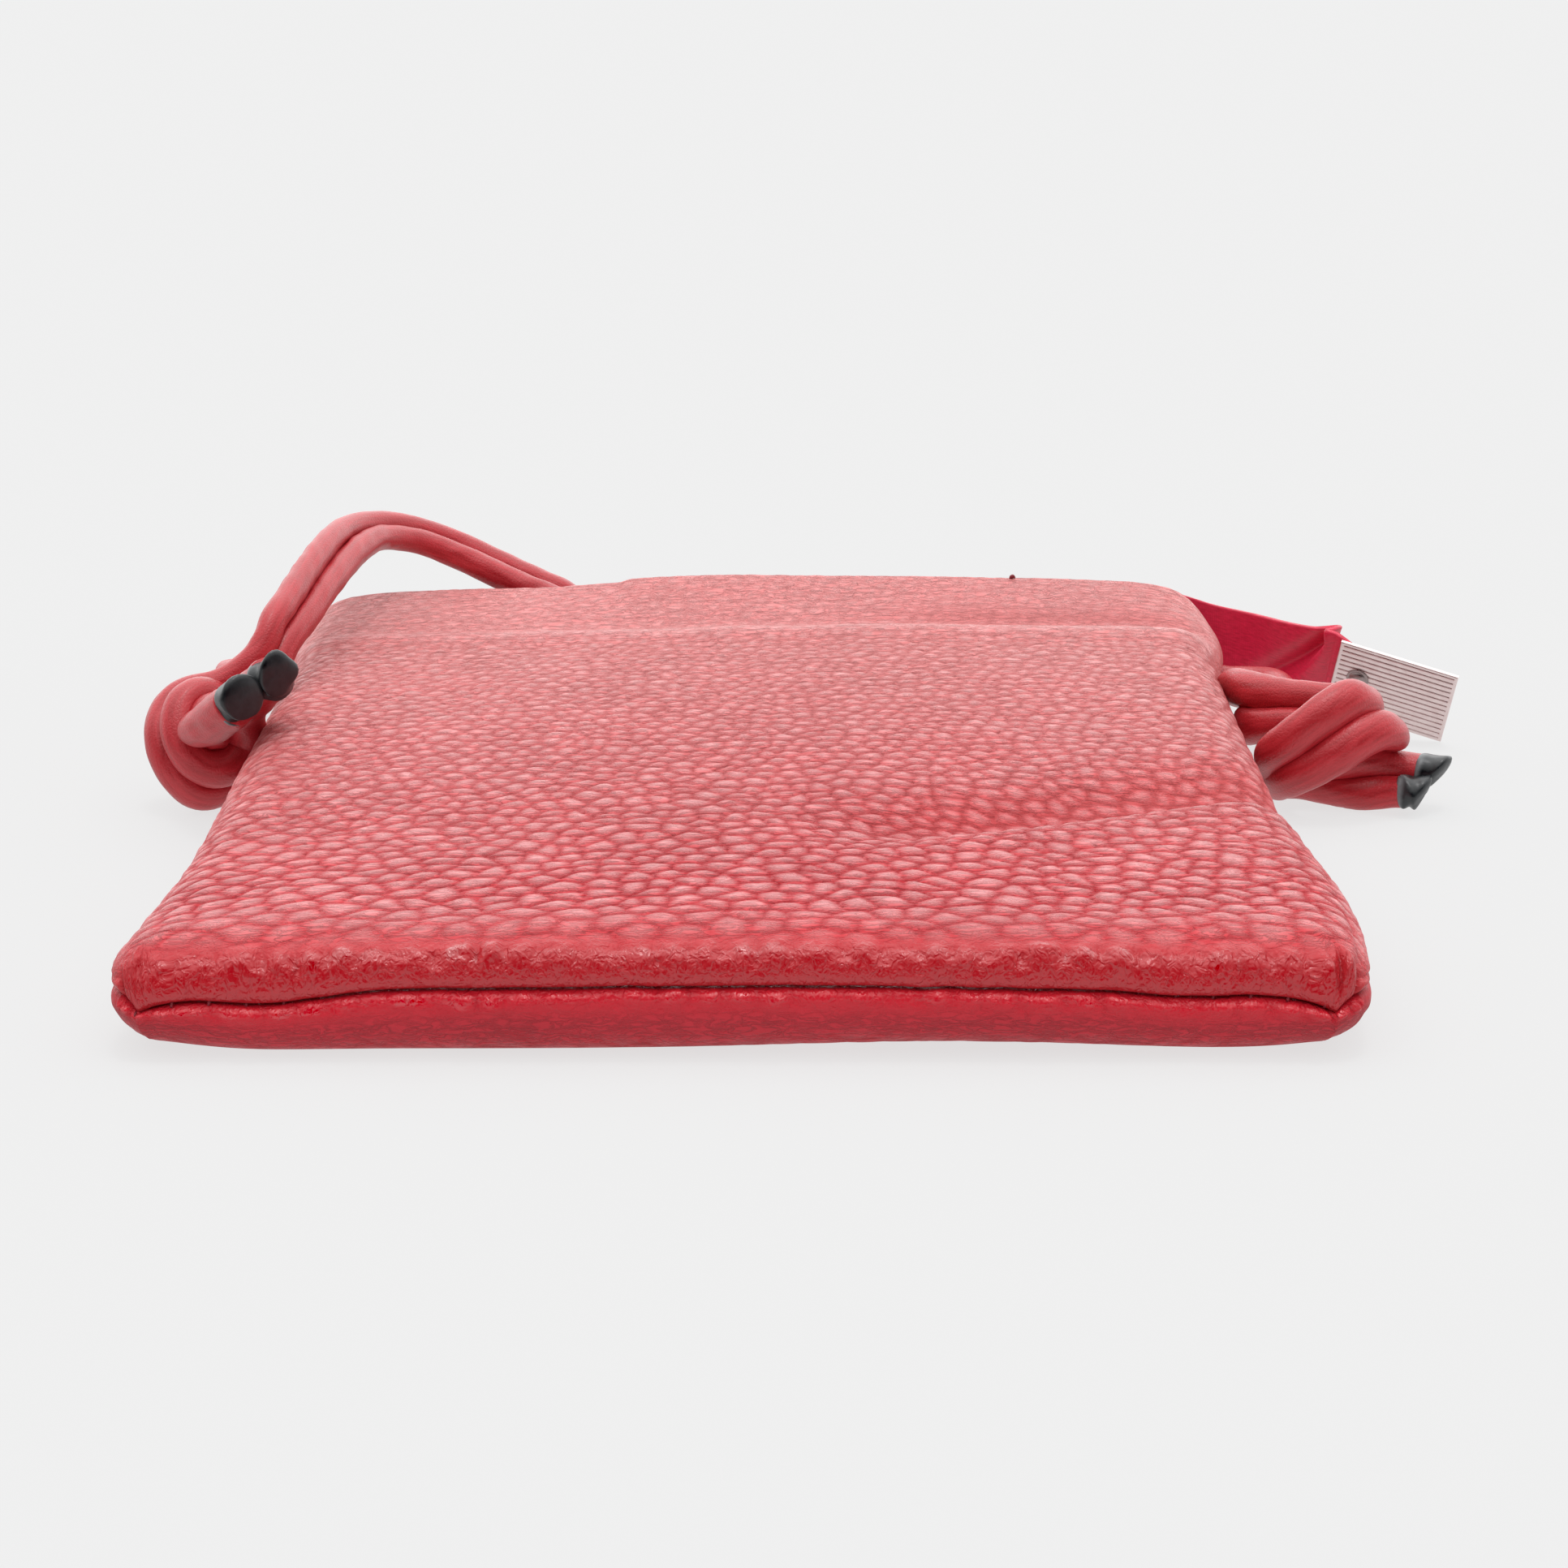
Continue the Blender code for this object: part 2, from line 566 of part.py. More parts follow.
def make_channel_cords(collection):
    """Each cord runs from its side slot through the front channel, turns at the far side and
    comes back through the back channel to the same slot."""
    reach = half_width(MOUTH_Y) - CHANNEL_END - BAND_LIP
    spread = (CORD + STRAND_GAP) / 2
    for side, name, y in ((-1, "left", LEFT_CORD_Y), (1, "right", RIGHT_CORD_Y)):
        front = channel_level(y, "front")
        back = channel_level(y, "back")
        material = make_material(f"{name}_cord_leather", (0.55, 0.05, 0.06), 0.5)
        inner = side * reach
        exit_place = slot_exit(side)
        slot = exit_place.z
        edge = abs(exit_place.x)
        splay_x = side * (edge - CORD_SPLAY)
        splay_y = (y + exit_place.y) / 2
        turn_top = front(-inner)
        turn_low = back(-inner)
        middle = (turn_top + turn_low) / 2
        shoulder = (turn_top - turn_low) * 0.36
        points = [
            (side * edge, exit_place.y - spread, slot),
            (side * (edge - CORD_INSET), exit_place.y - spread, slot),
            (splay_x, splay_y - spread * 0.6, slot + (front(inner) - slot) * 0.55),
            (inner, y, front(inner)),
        ]
        for share in (0.6, 0.2, -0.2, -0.6):
            points.append((inner * share, y, front(inner * share)))
        points += [
            (-inner, y, turn_top),
            (-inner - side * TURN_SHOULDER, y, middle + shoulder),
            (-inner - side * TURN_REACH, y, middle),
            (-inner - side * TURN_SHOULDER, y, middle - shoulder),
            (-inner, y, turn_low),
        ]
        for share in (-0.6, -0.2, 0.2, 0.6):
            points.append((inner * share, y, back(inner * share)))
        points += [
            (inner, y, back(inner)),
            (splay_x, splay_y + spread * 0.6, slot + (back(inner) - slot) * 0.45),
            (side * (edge - CORD_INSET), exit_place.y + spread, slot),
            (side * edge, exit_place.y + spread, slot),
        ]
        route = smooth_route(points, CORD * HELD_SPACING)
        make_tube(f"{name}_drawcord_in_channel", route, CORD, material, collection)


def mouth_corner(side):
    """Floor under the mouth's corner on one side."""
    return Vector((side * MOUTH_CORNER, MOUTH_Y, 0.0))


def strand_places(rows, side, strand, spacing):
    """Places of one strand of a pair, +1 for the first and -1 for the second."""
    corner = mouth_corner(side)
    apart = strand * spacing / 2
    return [corner + Vector(middle) * MM + Vector(lie).normalized() * apart for middle, lie in rows]


def make_knot(name, strands, core, material, collection):
    """One closed solid with the outer shape of both strands drawn together."""
    bm = bmesh.new()
    depsgraph = bpy.context.evaluated_depsgraph_get
    for route in strands:
        tube = make_tube(f"{name}_strand", route, CORD, material, collection)
        mesh = bpy.data.meshes.new_from_object(tube.evaluated_get(depsgraph()))
        bm.from_mesh(mesh)
        bpy.data.objects.remove(tube, do_unlink=True)
        bpy.data.meshes.remove(mesh)
    centre = Matrix.Translation(core)
    bmesh.ops.create_icosphere(bm, subdivisions=3, radius=KNOT_CORE / 2, matrix=centre)
    bmesh.ops.remove_doubles(bm, verts=bm.verts, dist=WELD)
    mesh = bpy.data.meshes.new(name)
    bm.to_mesh(mesh)
    bm.free()
    lump = add_object(name, mesh, material, collection)
    skin = lump.modifiers.new("skin", "REMESH")
    skin.mode = "VOXEL"
    skin.voxel_size = KNOT_VOXEL
    fewer = lump.modifiers.new("fewer", "DECIMATE")
    fewer.ratio = KNOT_SHARE
    whole = bpy.data.meshes.new_from_object(lump.evaluated_get(depsgraph()))
    lump.modifiers.clear()
    lump.data = whole
    keep_outer_skin(whole)
    whole.shade_smooth()


def keep_outer_skin(mesh):
    """Deletes the skins of pockets sealed inside a lump."""
    bm = bmesh.new()
    bm.from_mesh(mesh)
    unseen = set(bm.verts)
    islands = []
    while unseen:
        island = {unseen.pop()}
        edge = list(island)
        while edge:
            vertex = edge.pop()
            for link in vertex.link_edges:
                other = link.other_vert(vertex)
                if other in unseen:
                    unseen.discard(other)
                    island.add(other)
                    edge.append(other)
        islands.append(island)
    islands.sort(key=len)
    pockets = [vertex for island in islands[:-1] for vertex in island]
    bmesh.ops.delete(bm, geom=pockets, context="VERTS")
    bm.to_mesh(mesh)
    bm.free()


def make_tied_cords(collection):
    """The free pair at each side: two strands, one knot, two tails and two rubber tips."""
    pairs = (
        ("left", -1, LEFT_FREE, LEFT_TIE, LEFT_TAIL),
        ("right", 1, RIGHT_FREE, RIGHT_TIE, RIGHT_TAIL),
    )
    for name, side, free_rows, tie_rows, tail_rows in pairs:
        leather = make_material(f"{name}_strand_leather", (0.56, 0.05, 0.06), 0.5)
        rubber = make_material(f"{name}_tip_rubber", (0.04, 0.042, 0.045), 0.6)
        start = slot_exit(side) + Vector((side * STRAND_START, 0.0, 0.0))
        in_knot = []
        for number, strand in (("1", 1), ("2", -1)):
            places = [start - Vector((0.0, strand * (CORD + STRAND_GAP) / 2, 0.0))]
            places += strand_places(free_rows + tie_rows, side, strand, CORD + STRAND_GAP)
            places += strand_places(tail_rows, side, strand, TIP_DIAMETER + STRAND_GAP)
            fine, lengths, marks = fine_route(places)
            knot_from = marks[1 + len(free_rows)]
            knot_to = marks[1 + len(free_rows) + len(tie_rows)]
            tip_from = lengths[-1] - TIP_LENGTH
            free = cut_route(fine, lengths, 0.0, knot_from - KNOT_TAIL_GAP, CORD * TUBE_SPACING)
            make_tube(f"{name}_strand_{number}", free, CORD, leather, collection)
            in_knot.append(cut_route(fine, lengths, knot_from, knot_to, CORD * KNOT_SPACING))
            tail_from = knot_to + KNOT_TAIL_GAP
            tail = cut_route(fine, lengths, tail_from, tip_from - TIP_GAP, CORD * TAIL_SPACING)
            make_tube(f"{name}_tail_{number}", tail, CORD, leather, collection)
            tip = cut_route(fine, lengths, tip_from, lengths[-1], TIP_LENGTH / 2)
            make_tube(f"{name}_tip_{number}", tip, TIP_DIAMETER, rubber, collection)
        middles = strand_places(tie_rows, side, 0, 0.0)
        core = sum(middles, Vector()) / len(middles)
        make_knot(f"{name}_knot", in_knot, core, leather, collection)


def make_label_tab(collection):
    """A satin tab from inside the mouth to behind the tag plate."""
    satin = make_material("tab_satin", (0.42, 0.01, 0.05), 0.35)
    corner = mouth_corner(1)
    bm = bmesh.new()
    lows = []
    highs = []
    for low, high in TAB_ROUTE:
        lows.append(bm.verts.new(corner + Vector(low) * MM))
        highs.append(bm.verts.new(corner + Vector(high) * MM))
    for k in range(len(lows) - 1):
        bm.faces.new((lows[k], lows[k + 1], highs[k + 1], highs[k]))
    mesh = bpy.data.meshes.new("label_tab")
    bm.to_mesh(mesh)
    bm.free()
    tab = add_object("label_tab", mesh, satin, collection)
    layer = add_solidify(tab, TAB_THICKNESS)
    layer.offset = 0


def tag_place():
    """Where the tag plate lies: x along it, y up it and z out of its ribbed face."""
    run = Vector(TAG_RUN).normalized()
    lean = Vector(TAG_LEAN)
    lean = (lean - run * lean.dot(run)).normalized()
    facing = run.cross(lean)
    place = Matrix((run, lean, facing)).transposed().to_4x4()
    place.translation = mouth_corner(1) + Vector(TAG_CORNER) * MM
    return place


def make_tag_plate(place, collection):
    """A metal plate with ribs along its length, riveted over the tab's end."""
    metal = make_material("tag_metal", (0.62, 0.56, 0.57), 0.35, 0.8)
    pitch = TAG_HEIGHT / TAG_RIBS
    face = TAG_THICKNESS / 2
    outline = [(0.0, -face), (0.0, face - RIB_DEPTH)]
    for k in range(TAG_RIBS):
        outline.append(((k + RIB_BEVEL) * pitch, face))
        outline.append(((k + 1 - RIB_BEVEL) * pitch, face))
        if k < TAG_RIBS - 1:
            outline.append(((k + 1) * pitch, face - RIB_DEPTH))
    outline += [(TAG_HEIGHT, face - RIB_DEPTH), (TAG_HEIGHT, -face)]
    bm = bmesh.new()
    ring = [bm.verts.new((0.0, up, out)) for up, out in outline]
    cap = bm.faces.new(ring)
    moved = bmesh.ops.extrude_face_region(bm, geom=[cap])
    far = [item for item in moved["geom"] if isinstance(item, bmesh.types.BMVert)]
    bmesh.ops.translate(bm, verts=far, vec=(TAG_LENGTH, 0, 0))
    bmesh.ops.recalc_face_normals(bm, faces=bm.faces)
    mesh = bpy.data.meshes.new("tag_plate")
    bm.to_mesh(mesh)
    bm.free()
    plate = add_object("tag_plate", mesh, metal, collection)
    plate.matrix_world = place


def make_rivets(place, collection):
    """A dome on the plate and its second half behind the tab."""
    metal = make_material("rivet_metal", (0.7, 0.68, 0.68), 0.3, 0.9)
    on_plate = TAG_THICKNESS / 2 + FIT_GAP
    behind_tab = on_plate + TAB_THICKNESS + FIT_GAP
    for name, out, offset in (("tag_rivet", 1, on_plate), ("tag_rivet_back", -1, behind_tab)):
        bm = bmesh.new()
        bmesh.ops.create_uvsphere(bm, u_segments=14, v_segments=8, radius=RIVET_DIAMETER / 2)
        for vertex in bm.verts:
            vertex.co.z = max(0.0, vertex.co.z) * RIVET_RISE * 2 / RIVET_DIAMETER
        bmesh.ops.remove_doubles(bm, verts=bm.verts, dist=WELD)
        mesh = bpy.data.meshes.new(name)
        bm.to_mesh(mesh)
        bm.free()
        mesh.shade_smooth()
        dome = add_object(name, mesh, metal, collection)
        turn = Matrix.Identity(4) if out > 0 else Matrix.Rotation(math.pi, 4, "X")
        seat = Matrix.Translation((RIVET_ALONG, RIVET_UP, out * offset))
        dome.matrix_world = place @ seat @ turn


def build_pouch():
    collection = bpy.data.collections.new("kinchaku_pouch")
    bpy.context.scene.collection.children.link(collection)
    make_panels(collection)
    make_channel_bands(collection)
    make_channel_cords(collection)
    make_tied_cords(collection)
    make_label_tab(collection)
    place = tag_place()
    make_tag_plate(place, collection)
    make_rivets(place, collection)


for old in list(bpy.data.objects):
    bpy.data.objects.remove(old, do_unlink=True)
build_pouch()
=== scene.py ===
import math
from functools import partial

import bmesh
import bpy
import numpy as np
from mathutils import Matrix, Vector
from mathutils.geometry import interpolate_bezier


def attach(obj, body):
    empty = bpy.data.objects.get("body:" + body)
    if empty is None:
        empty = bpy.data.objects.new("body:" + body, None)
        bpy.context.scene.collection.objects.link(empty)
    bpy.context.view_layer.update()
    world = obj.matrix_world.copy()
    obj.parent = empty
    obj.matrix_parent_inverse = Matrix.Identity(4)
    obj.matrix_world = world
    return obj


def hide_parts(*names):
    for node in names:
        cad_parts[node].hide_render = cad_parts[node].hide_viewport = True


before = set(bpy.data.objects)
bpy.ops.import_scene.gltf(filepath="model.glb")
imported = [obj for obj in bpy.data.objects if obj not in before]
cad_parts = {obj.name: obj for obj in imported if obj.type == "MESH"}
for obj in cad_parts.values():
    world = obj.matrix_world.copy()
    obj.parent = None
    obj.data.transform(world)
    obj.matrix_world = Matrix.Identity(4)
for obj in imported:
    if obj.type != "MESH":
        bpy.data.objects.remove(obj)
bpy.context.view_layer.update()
scene = bpy.context.scene
mm = 0.001
print("frame loaded")

# camera, light and floor first

view = {"lensMm": 80.0, "sensorMm": 36.0, "place": (5.2, -506.253, 151.799), "downDegrees": 15.4424}
cameraData = bpy.data.cameras.new("photoView")
cameraData.lens = view["lensMm"]
cameraData.sensor_width = view["sensorMm"]
cameraObject = bpy.data.objects.new("photoView", cameraData)
cameraObject.location = Vector(view["place"]) * mm
cameraObject.rotation_euler = (math.radians(90 - view["downDegrees"]), 0, 0)
scene.collection.objects.link(cameraObject)
scene.camera = cameraObject
scene.view_settings.view_transform = "Standard"


# sRGB hex to the linear colour that the shaders use
def fromHex(code):
    parts = [int(code[k:k + 2], 16) / 255 for k in (1, 3, 5)]
    return tuple(p / 12.92 if p <= 0.04045 else ((p + 0.055) / 1.055) ** 2.4 for p in parts) + (1.0,)


# sets a node's properties, plain inputs and colour stops, then feeds its inputs from other nodes, where a
# bare node stands for its first output
def setNode(node, settings, links):
    for key, value in settings.items():
        if key == "stops":
            stops = node.color_ramp.elements
            stops[0].position, stops[1].position = value[0][0], value[-1][0]
            for position, code in value[1:-1]:
                stops.new(position)
            for stop, (position, code) in zip(stops, value):
                stop.color = fromHex(code)
        elif isinstance(key, int) or key in node.inputs:
            node.inputs[key].default_value = value
        else:
            setattr(node, key, value)
    for key, source in links.items():
        socket = source.outputs[0] if hasattr(source, "outputs") else source
        node.id_data.links.new(socket, node.inputs[key])


# adds one node of a kind, with its settings and links
def addNode(tree, kind, settings=None, links=None):
    node = tree.nodes.new("ShaderNode" + kind)
    setNode(node, settings or {}, links or {})
    return node


# a white room: its dome lights softly from all sides, and what mirrors in the finish is a brighter wall
# behind the pouch. The table is a sheet of opal acrylic lit from below, which keeps the shadows light.
studio = {
    "backdrop": "#F0F0F0", "table": 0.12, "tableGlow": 0.70, "floorReach": 9.0,
    "dome": (0.62, 0.34, 0.0), "mirror": (0.72, 0.45, 1.5),
    "lamps": (("overheadSoftbox", 1.15, 95.0, (9, -3)), ("overheadStrip", 0.6, 14.0, (4, 4))),
}
scene.world = bpy.data.worlds.new("studioDome")
scene.world.use_nodes = True
scene.world.node_tree.nodes.clear()
add = partial(addNode, scene.world.node_tree)
ray = add("LightPath")
spot = add("TexCoord")
room = {}
# each is as strong as a level, a rise towards the ceiling and one towards the back wall
for key in ("dome", "mirror"):
    level, up, back = studio[key]
    lean = add("VectorMath", {"operation": "DOT_PRODUCT", 1: (0.0, back, up)}, {0: spot})
    strength = add("Math", {"operation": "ADD", 1: level}, {0: lean.outputs["Value"]})
    room[key] = add("Background", {"Color": (1, 1, 1, 1)}, {"Strength": strength})
shown = add("Background", {"Color": fromHex(studio["backdrop"]), "Strength": 1.0})
lit = add("MixShader", None, {0: ray.outputs["Is Glossy Ray"], 1: room["dome"], 2: room["mirror"]})
mixed = add("MixShader", None, {0: ray.outputs["Is Camera Ray"], 1: lit, 2: shown})
add("OutputWorld", None, {"Surface": mixed})

for name, strength, angle, tilt in studio["lamps"]:
    lampData = bpy.data.lights.new(name, "SUN")
    lampData.energy = strength
    lampData.angle = math.radians(angle)
    lampObject = bpy.data.objects.new(name, lampData)
    lampObject.rotation_euler = (math.radians(tilt[0]), math.radians(tilt[1]), 0)
    scene.collection.objects.link(lampObject)


def newMaterial(name):
    material = bpy.data.materials.new(name)
    material.use_nodes = True
    tree = material.node_tree
    return material, tree.nodes["Principled BSDF"], partial(addNode, tree)


# opal acrylic, sanded matt, so it only takes the soft contact shadow
floorMaterial, shader, add = newMaterial("opalAcrylicTable")
setNode(shader, {"Base Color": (studio["table"],) * 3 + (1,), "Emission Color": (1, 1, 1, 1),
                 "Emission Strength": studio["tableGlow"], "Roughness": 1.0, "Specular IOR Level": 0.0}, {})
reach = studio["floorReach"]
floorMesh = bpy.data.meshes.new("studioFloor")
floorMesh.from_pydata([(-reach, -reach, 0), (reach, -reach, 0), (reach, reach, 0), (-reach, reach, 0)], [],
                      [(0, 1, 2, 3)])
floorMesh.materials.append(floorMaterial)
studioFloor = bpy.data.objects.new("studioFloor", floorMesh)
scene.collection.objects.link(studioFloor)
print("camera, lamps and floor set")

# sizes that the frame and the looks share, in millimetres

pouch = {
    "halfWidth": 81.5, "bottomY": -90.0, "mouthY": 90.0, "creaseY": 70.0, "mouthCorner": 80.0,
    "waist": 3.5, "waistReach": 0.42, "flare": 0.5, "sway": 1.4, "swayCentre": -54.0, "swaySpread": 28.0,
    "seam": 8.4, "seamRise": 0.9, "seamMiddle": 1.5, "seamBand": 12.0,
    "notchX": 77.0, "notch": 2.5, "notchSpread": 4.2, "notchPast": 2.0, "seamUneven": 0.16,
    "turnBack": 6.0, "turnRise": 0.6, "turnSpread": 6.0,
    "seamWaves": ((-60.0, 1.5), (56.0, 0.6)), "seamWaveSpread": 9.0,
    "topBottom": 15.8, "topCrease": 18.8, "topMouth": 23.0, "crown": 1.2, "mouthCrown": 2.6, "mouthTilt": 1.6,
    "leather": 1.3, "gap": 0.3, "roll": 9.0, "groove": 1.35, "allowance": 3.0, "slotRim": 0.6,
    "slotHeight": 6.0, "slotShort": 3.5, "slotFull": 1.2, "channelEnd": 16.8,
    "edgeFullness": 2.0, "underFullness": 2.7, "cornerFullness": 3.4,
    "foldStart": (15.0, -50.5), "foldEnd": (70.0, -27.0), "ridge": 0.95, "ridgeSpread": 6.0,
    "hollow": 3.5, "hollowSpread": 8.5, "hollowBehind": 10.0,
    "lift": 1.2, "liftCentre": 26.0, "liftSpread": 28.0, "liftFrom": 4.0, "liftTo": 26.0,
    "pull": 1.8, "pullFrom": 55.0, "pullSpread": 16.0, "cornerLift": 2.2, "cornerLiftSpread": 11.0,
    "cornerFrom": 64.0, "cornerBack": 4.0, "cornerDown": 0.8, "cornerReach": 12.0,
    "mouthSide": 2.2, "mouthSideFrom": 62.0, "mouthSideAt": 78.0, "mouthSideSpread": 11.0, "cord": 4.8,
}


def smoothStep(low, high, value):
    t = np.clip((value - low) / (high - low), 0.0, 1.0)
    return t * t * (3 - 2 * t)


def bell(value, centre, spread):
    return np.exp(-(((value - centre) / spread) ** 2))


# smooth unevenness from -1 to 1, with lumps of the given size
def softNoise(u, v, size, seed):
    table = np.random.default_rng(seed).random((64, 64)) * 2 - 1
    a = u / size + 17.3
    b = v / size + 31.7
    i = np.floor(a).astype(int)
    j = np.floor(b).astype(int)
    fa = smoothStep(0.0, 1.0, a - i)
    fb = smoothStep(0.0, 1.0, b - j)
    low = table[i % 64, j % 64] * (1 - fa) + table[(i + 1) % 64, j % 64] * fa
    high = table[i % 64, (j + 1) % 64] * (1 - fa) + table[(i + 1) % 64, (j + 1) % 64] * fa
    return low * (1 - fb) + high * fb


# how far up the pouch a place is, from 0 at the bottom edge to 1 at the mouth
def shareUp(y):
    return (y - pouch["bottomY"]) / (pouch["mouthY"] - pouch["bottomY"])


def halfWidth(y):
    waist = pouch["waist"] * smoothStep(0.0, pouch["waistReach"], shareUp(y))
    return pouch["halfWidth"] - waist + pouch["flare"] * smoothStep(0.6, 1.0, shareUp(y))


def sway(y):
    return pouch["sway"] * bell(y, pouch["swayCentre"], pouch["swaySpread"])


def seamHeight(x, y):
    up = y - pouch["bottomY"]
    middle = pouch["seamMiddle"] * (1 - (np.abs(x) / pouch["halfWidth"]) ** 2)
    for centre, depth in pouch["seamWaves"]:
        middle = middle - depth * bell(x, centre, pouch["seamWaveSpread"])
    middle = middle + pouch["seamUneven"] * softNoise(x, 0 * y, 3.4, 16)
    # it dips to a notch short of each corner and climbs again round it
    past = np.abs(x) - pouch["notchX"] + y - pouch["bottomY"]
    fromTurn = np.hypot(np.abs(x) - pouch["halfWidth"], up - pouch["turnBack"])
    nearNotch = np.maximum(-past, 0) / pouch["notchSpread"] + np.maximum(past, 0) / pouch["notchPast"]
    notch = pouch["notch"] * np.exp(-nearNotch)
    turn = pouch["turnRise"] * bell(fromTurn, 0.0, pouch["turnSpread"])
    level = pouch["seam"] + pouch["seamRise"] * smoothStep(0.1, 0.95, shareUp(y))
    return level + middle * (1 - smoothStep(0.0, pouch["seamBand"], up)) - notch + turn


# how far the side slot is open
def slotOpening(y):
    return smoothStep(pouch["creaseY"] - pouch["slotShort"], pouch["creaseY"] + pouch["slotFull"], y)


def halfGap(y):
    return pouch["gap"] / 2 + (pouch["slotHeight"] - pouch["gap"]) / 2 * slotOpening(y)


# the fold across the front: a ridge and the hollow behind it
def foldRelief(x, y):
    sx, sy = pouch["foldStart"]
    dx, dy = pouch["foldEnd"][0] - sx, pouch["foldEnd"][1] - sy
    length = math.hypot(dx, dy)
    share = ((x - sx) * dx + (y - sy) * dy) / length ** 2
    behind = (dx * (y - sy) - dy * (x - sx)) / length
    ridge = pouch["ridge"] * bell(behind, 0.0, pouch["ridgeSpread"])
    hollow = pouch["hollow"] * bell(behind, pouch["hollowBehind"], pouch["hollowSpread"])
    return smoothStep(-0.15, 0.45, share) * (ridge - hollow)


def topHeight(x, y):
    crease, mouth = pouch["creaseY"], pouch["mouthY"]
    below = (pouch["topCrease"] - pouch["topBottom"]) * smoothStep(0.0, shareUp(crease), shareUp(y))
    climb = (pouch["topMouth"] - pouch["topCrease"]) * (np.maximum(0.0, y - crease) / (mouth - crease))
    share = x / pouch["halfWidth"]
    swell = pouch["crown"] + (pouch["mouthCrown"] - pouch["crown"]) * smoothStep(crease, mouth, y)
    tilt = pouch["mouthTilt"] * share * smoothStep(0.55, 1.0, shareUp(y)) * (1 - 0.6 * np.abs(share) ** 3)
    return pouch["topBottom"] + below + climb + swell * (0.5 - share * share) + tilt + foldRelief(x, y)


def underHeight(x, y):
    nearEdge = 1 - smoothStep(pouch["liftFrom"], pouch["liftTo"], y - pouch["bottomY"])
    return pouch["lift"] * bell(x, pouch["liftCentre"], pouch["liftSpread"]) * nearEdge


# helpers for meshes

def makePiece(name, points, faces, material, attributes=None, smooth=True, outward=False):
    mesh = bpy.data.meshes.new(name)
    mesh.from_pydata([tuple(p) for p in (np.asarray(points) * mm).tolist()], [], faces)
    mesh.materials.append(material)
    if smooth:
        mesh.shade_smooth()
    for key, values in (attributes or {}).items():
        values = np.asarray(values, np.float32)
        wide = values.ndim == 2
        layer = mesh.attributes.new(key, "FLOAT_VECTOR" if wide else "FLOAT", "POINT")
        layer.data.foreach_set("vector" if wide else "value", values.ravel())
    mesh.update()
    if outward:
        editing = bmesh.new()
        editing.from_mesh(mesh)
        bmesh.ops.recalc_face_normals(editing, faces=editing.faces)
        editing.to_mesh(mesh)
        editing.free()
    piece = bpy.data.objects.new(name, mesh)
    scene.collection.objects.link(piece)
    return piece


def gridFaces(rows, columns, start=0, closed=False):
    faces = []
    for j in range(rows - 1):
        for i in range(columns if closed else columns - 1):
            a = start + j * columns + i
            b = start + j * columns + (i + 1) % columns
            faces.append((a, b, b + columns, a + columns))
    return faces


# the faces of a thin slab: one grid, its copy behind it and the strip that joins their edges
def slabFaces(rows, columns):
    count = rows * columns
    faces = gridFaces(rows, columns)
    faces += [tuple(corner + count for corner in face[::-1]) for face in faces]
    edge = [(0, i) for i in range(columns)] + [(j, columns - 1) for j in range(1, rows)]
    edge += [(rows - 1, i) for i in range(columns - 2, -1, -1)] + [(j, 0) for j in range(rows - 2, 0, -1)]
    edge = [j * columns + i for j, i in edge]
    return faces + [(b, a, a + count, b + count) for a, b in zip(edge, edge[1:] + edge[:1])]


# the faces of a tube of rings, with both its ends closed
def tubeFaces(rings, sides, start=0):
    last = start + (rings - 1) * sides
    faces = gridFaces(rings, sides, start, closed=True)
    return faces + [tuple(range(start, start + sides))[::-1], tuple(range(last, last + sides))]


# run of the curves through a grid's points, along one of its axes
def runLength(points, axis):
    steps = np.linalg.norm(np.diff(points, axis=axis), axis=-1)
    return np.concatenate([np.zeros_like(steps.take([0], axis)), np.cumsum(steps, axis=axis)], axis=axis)


# materials

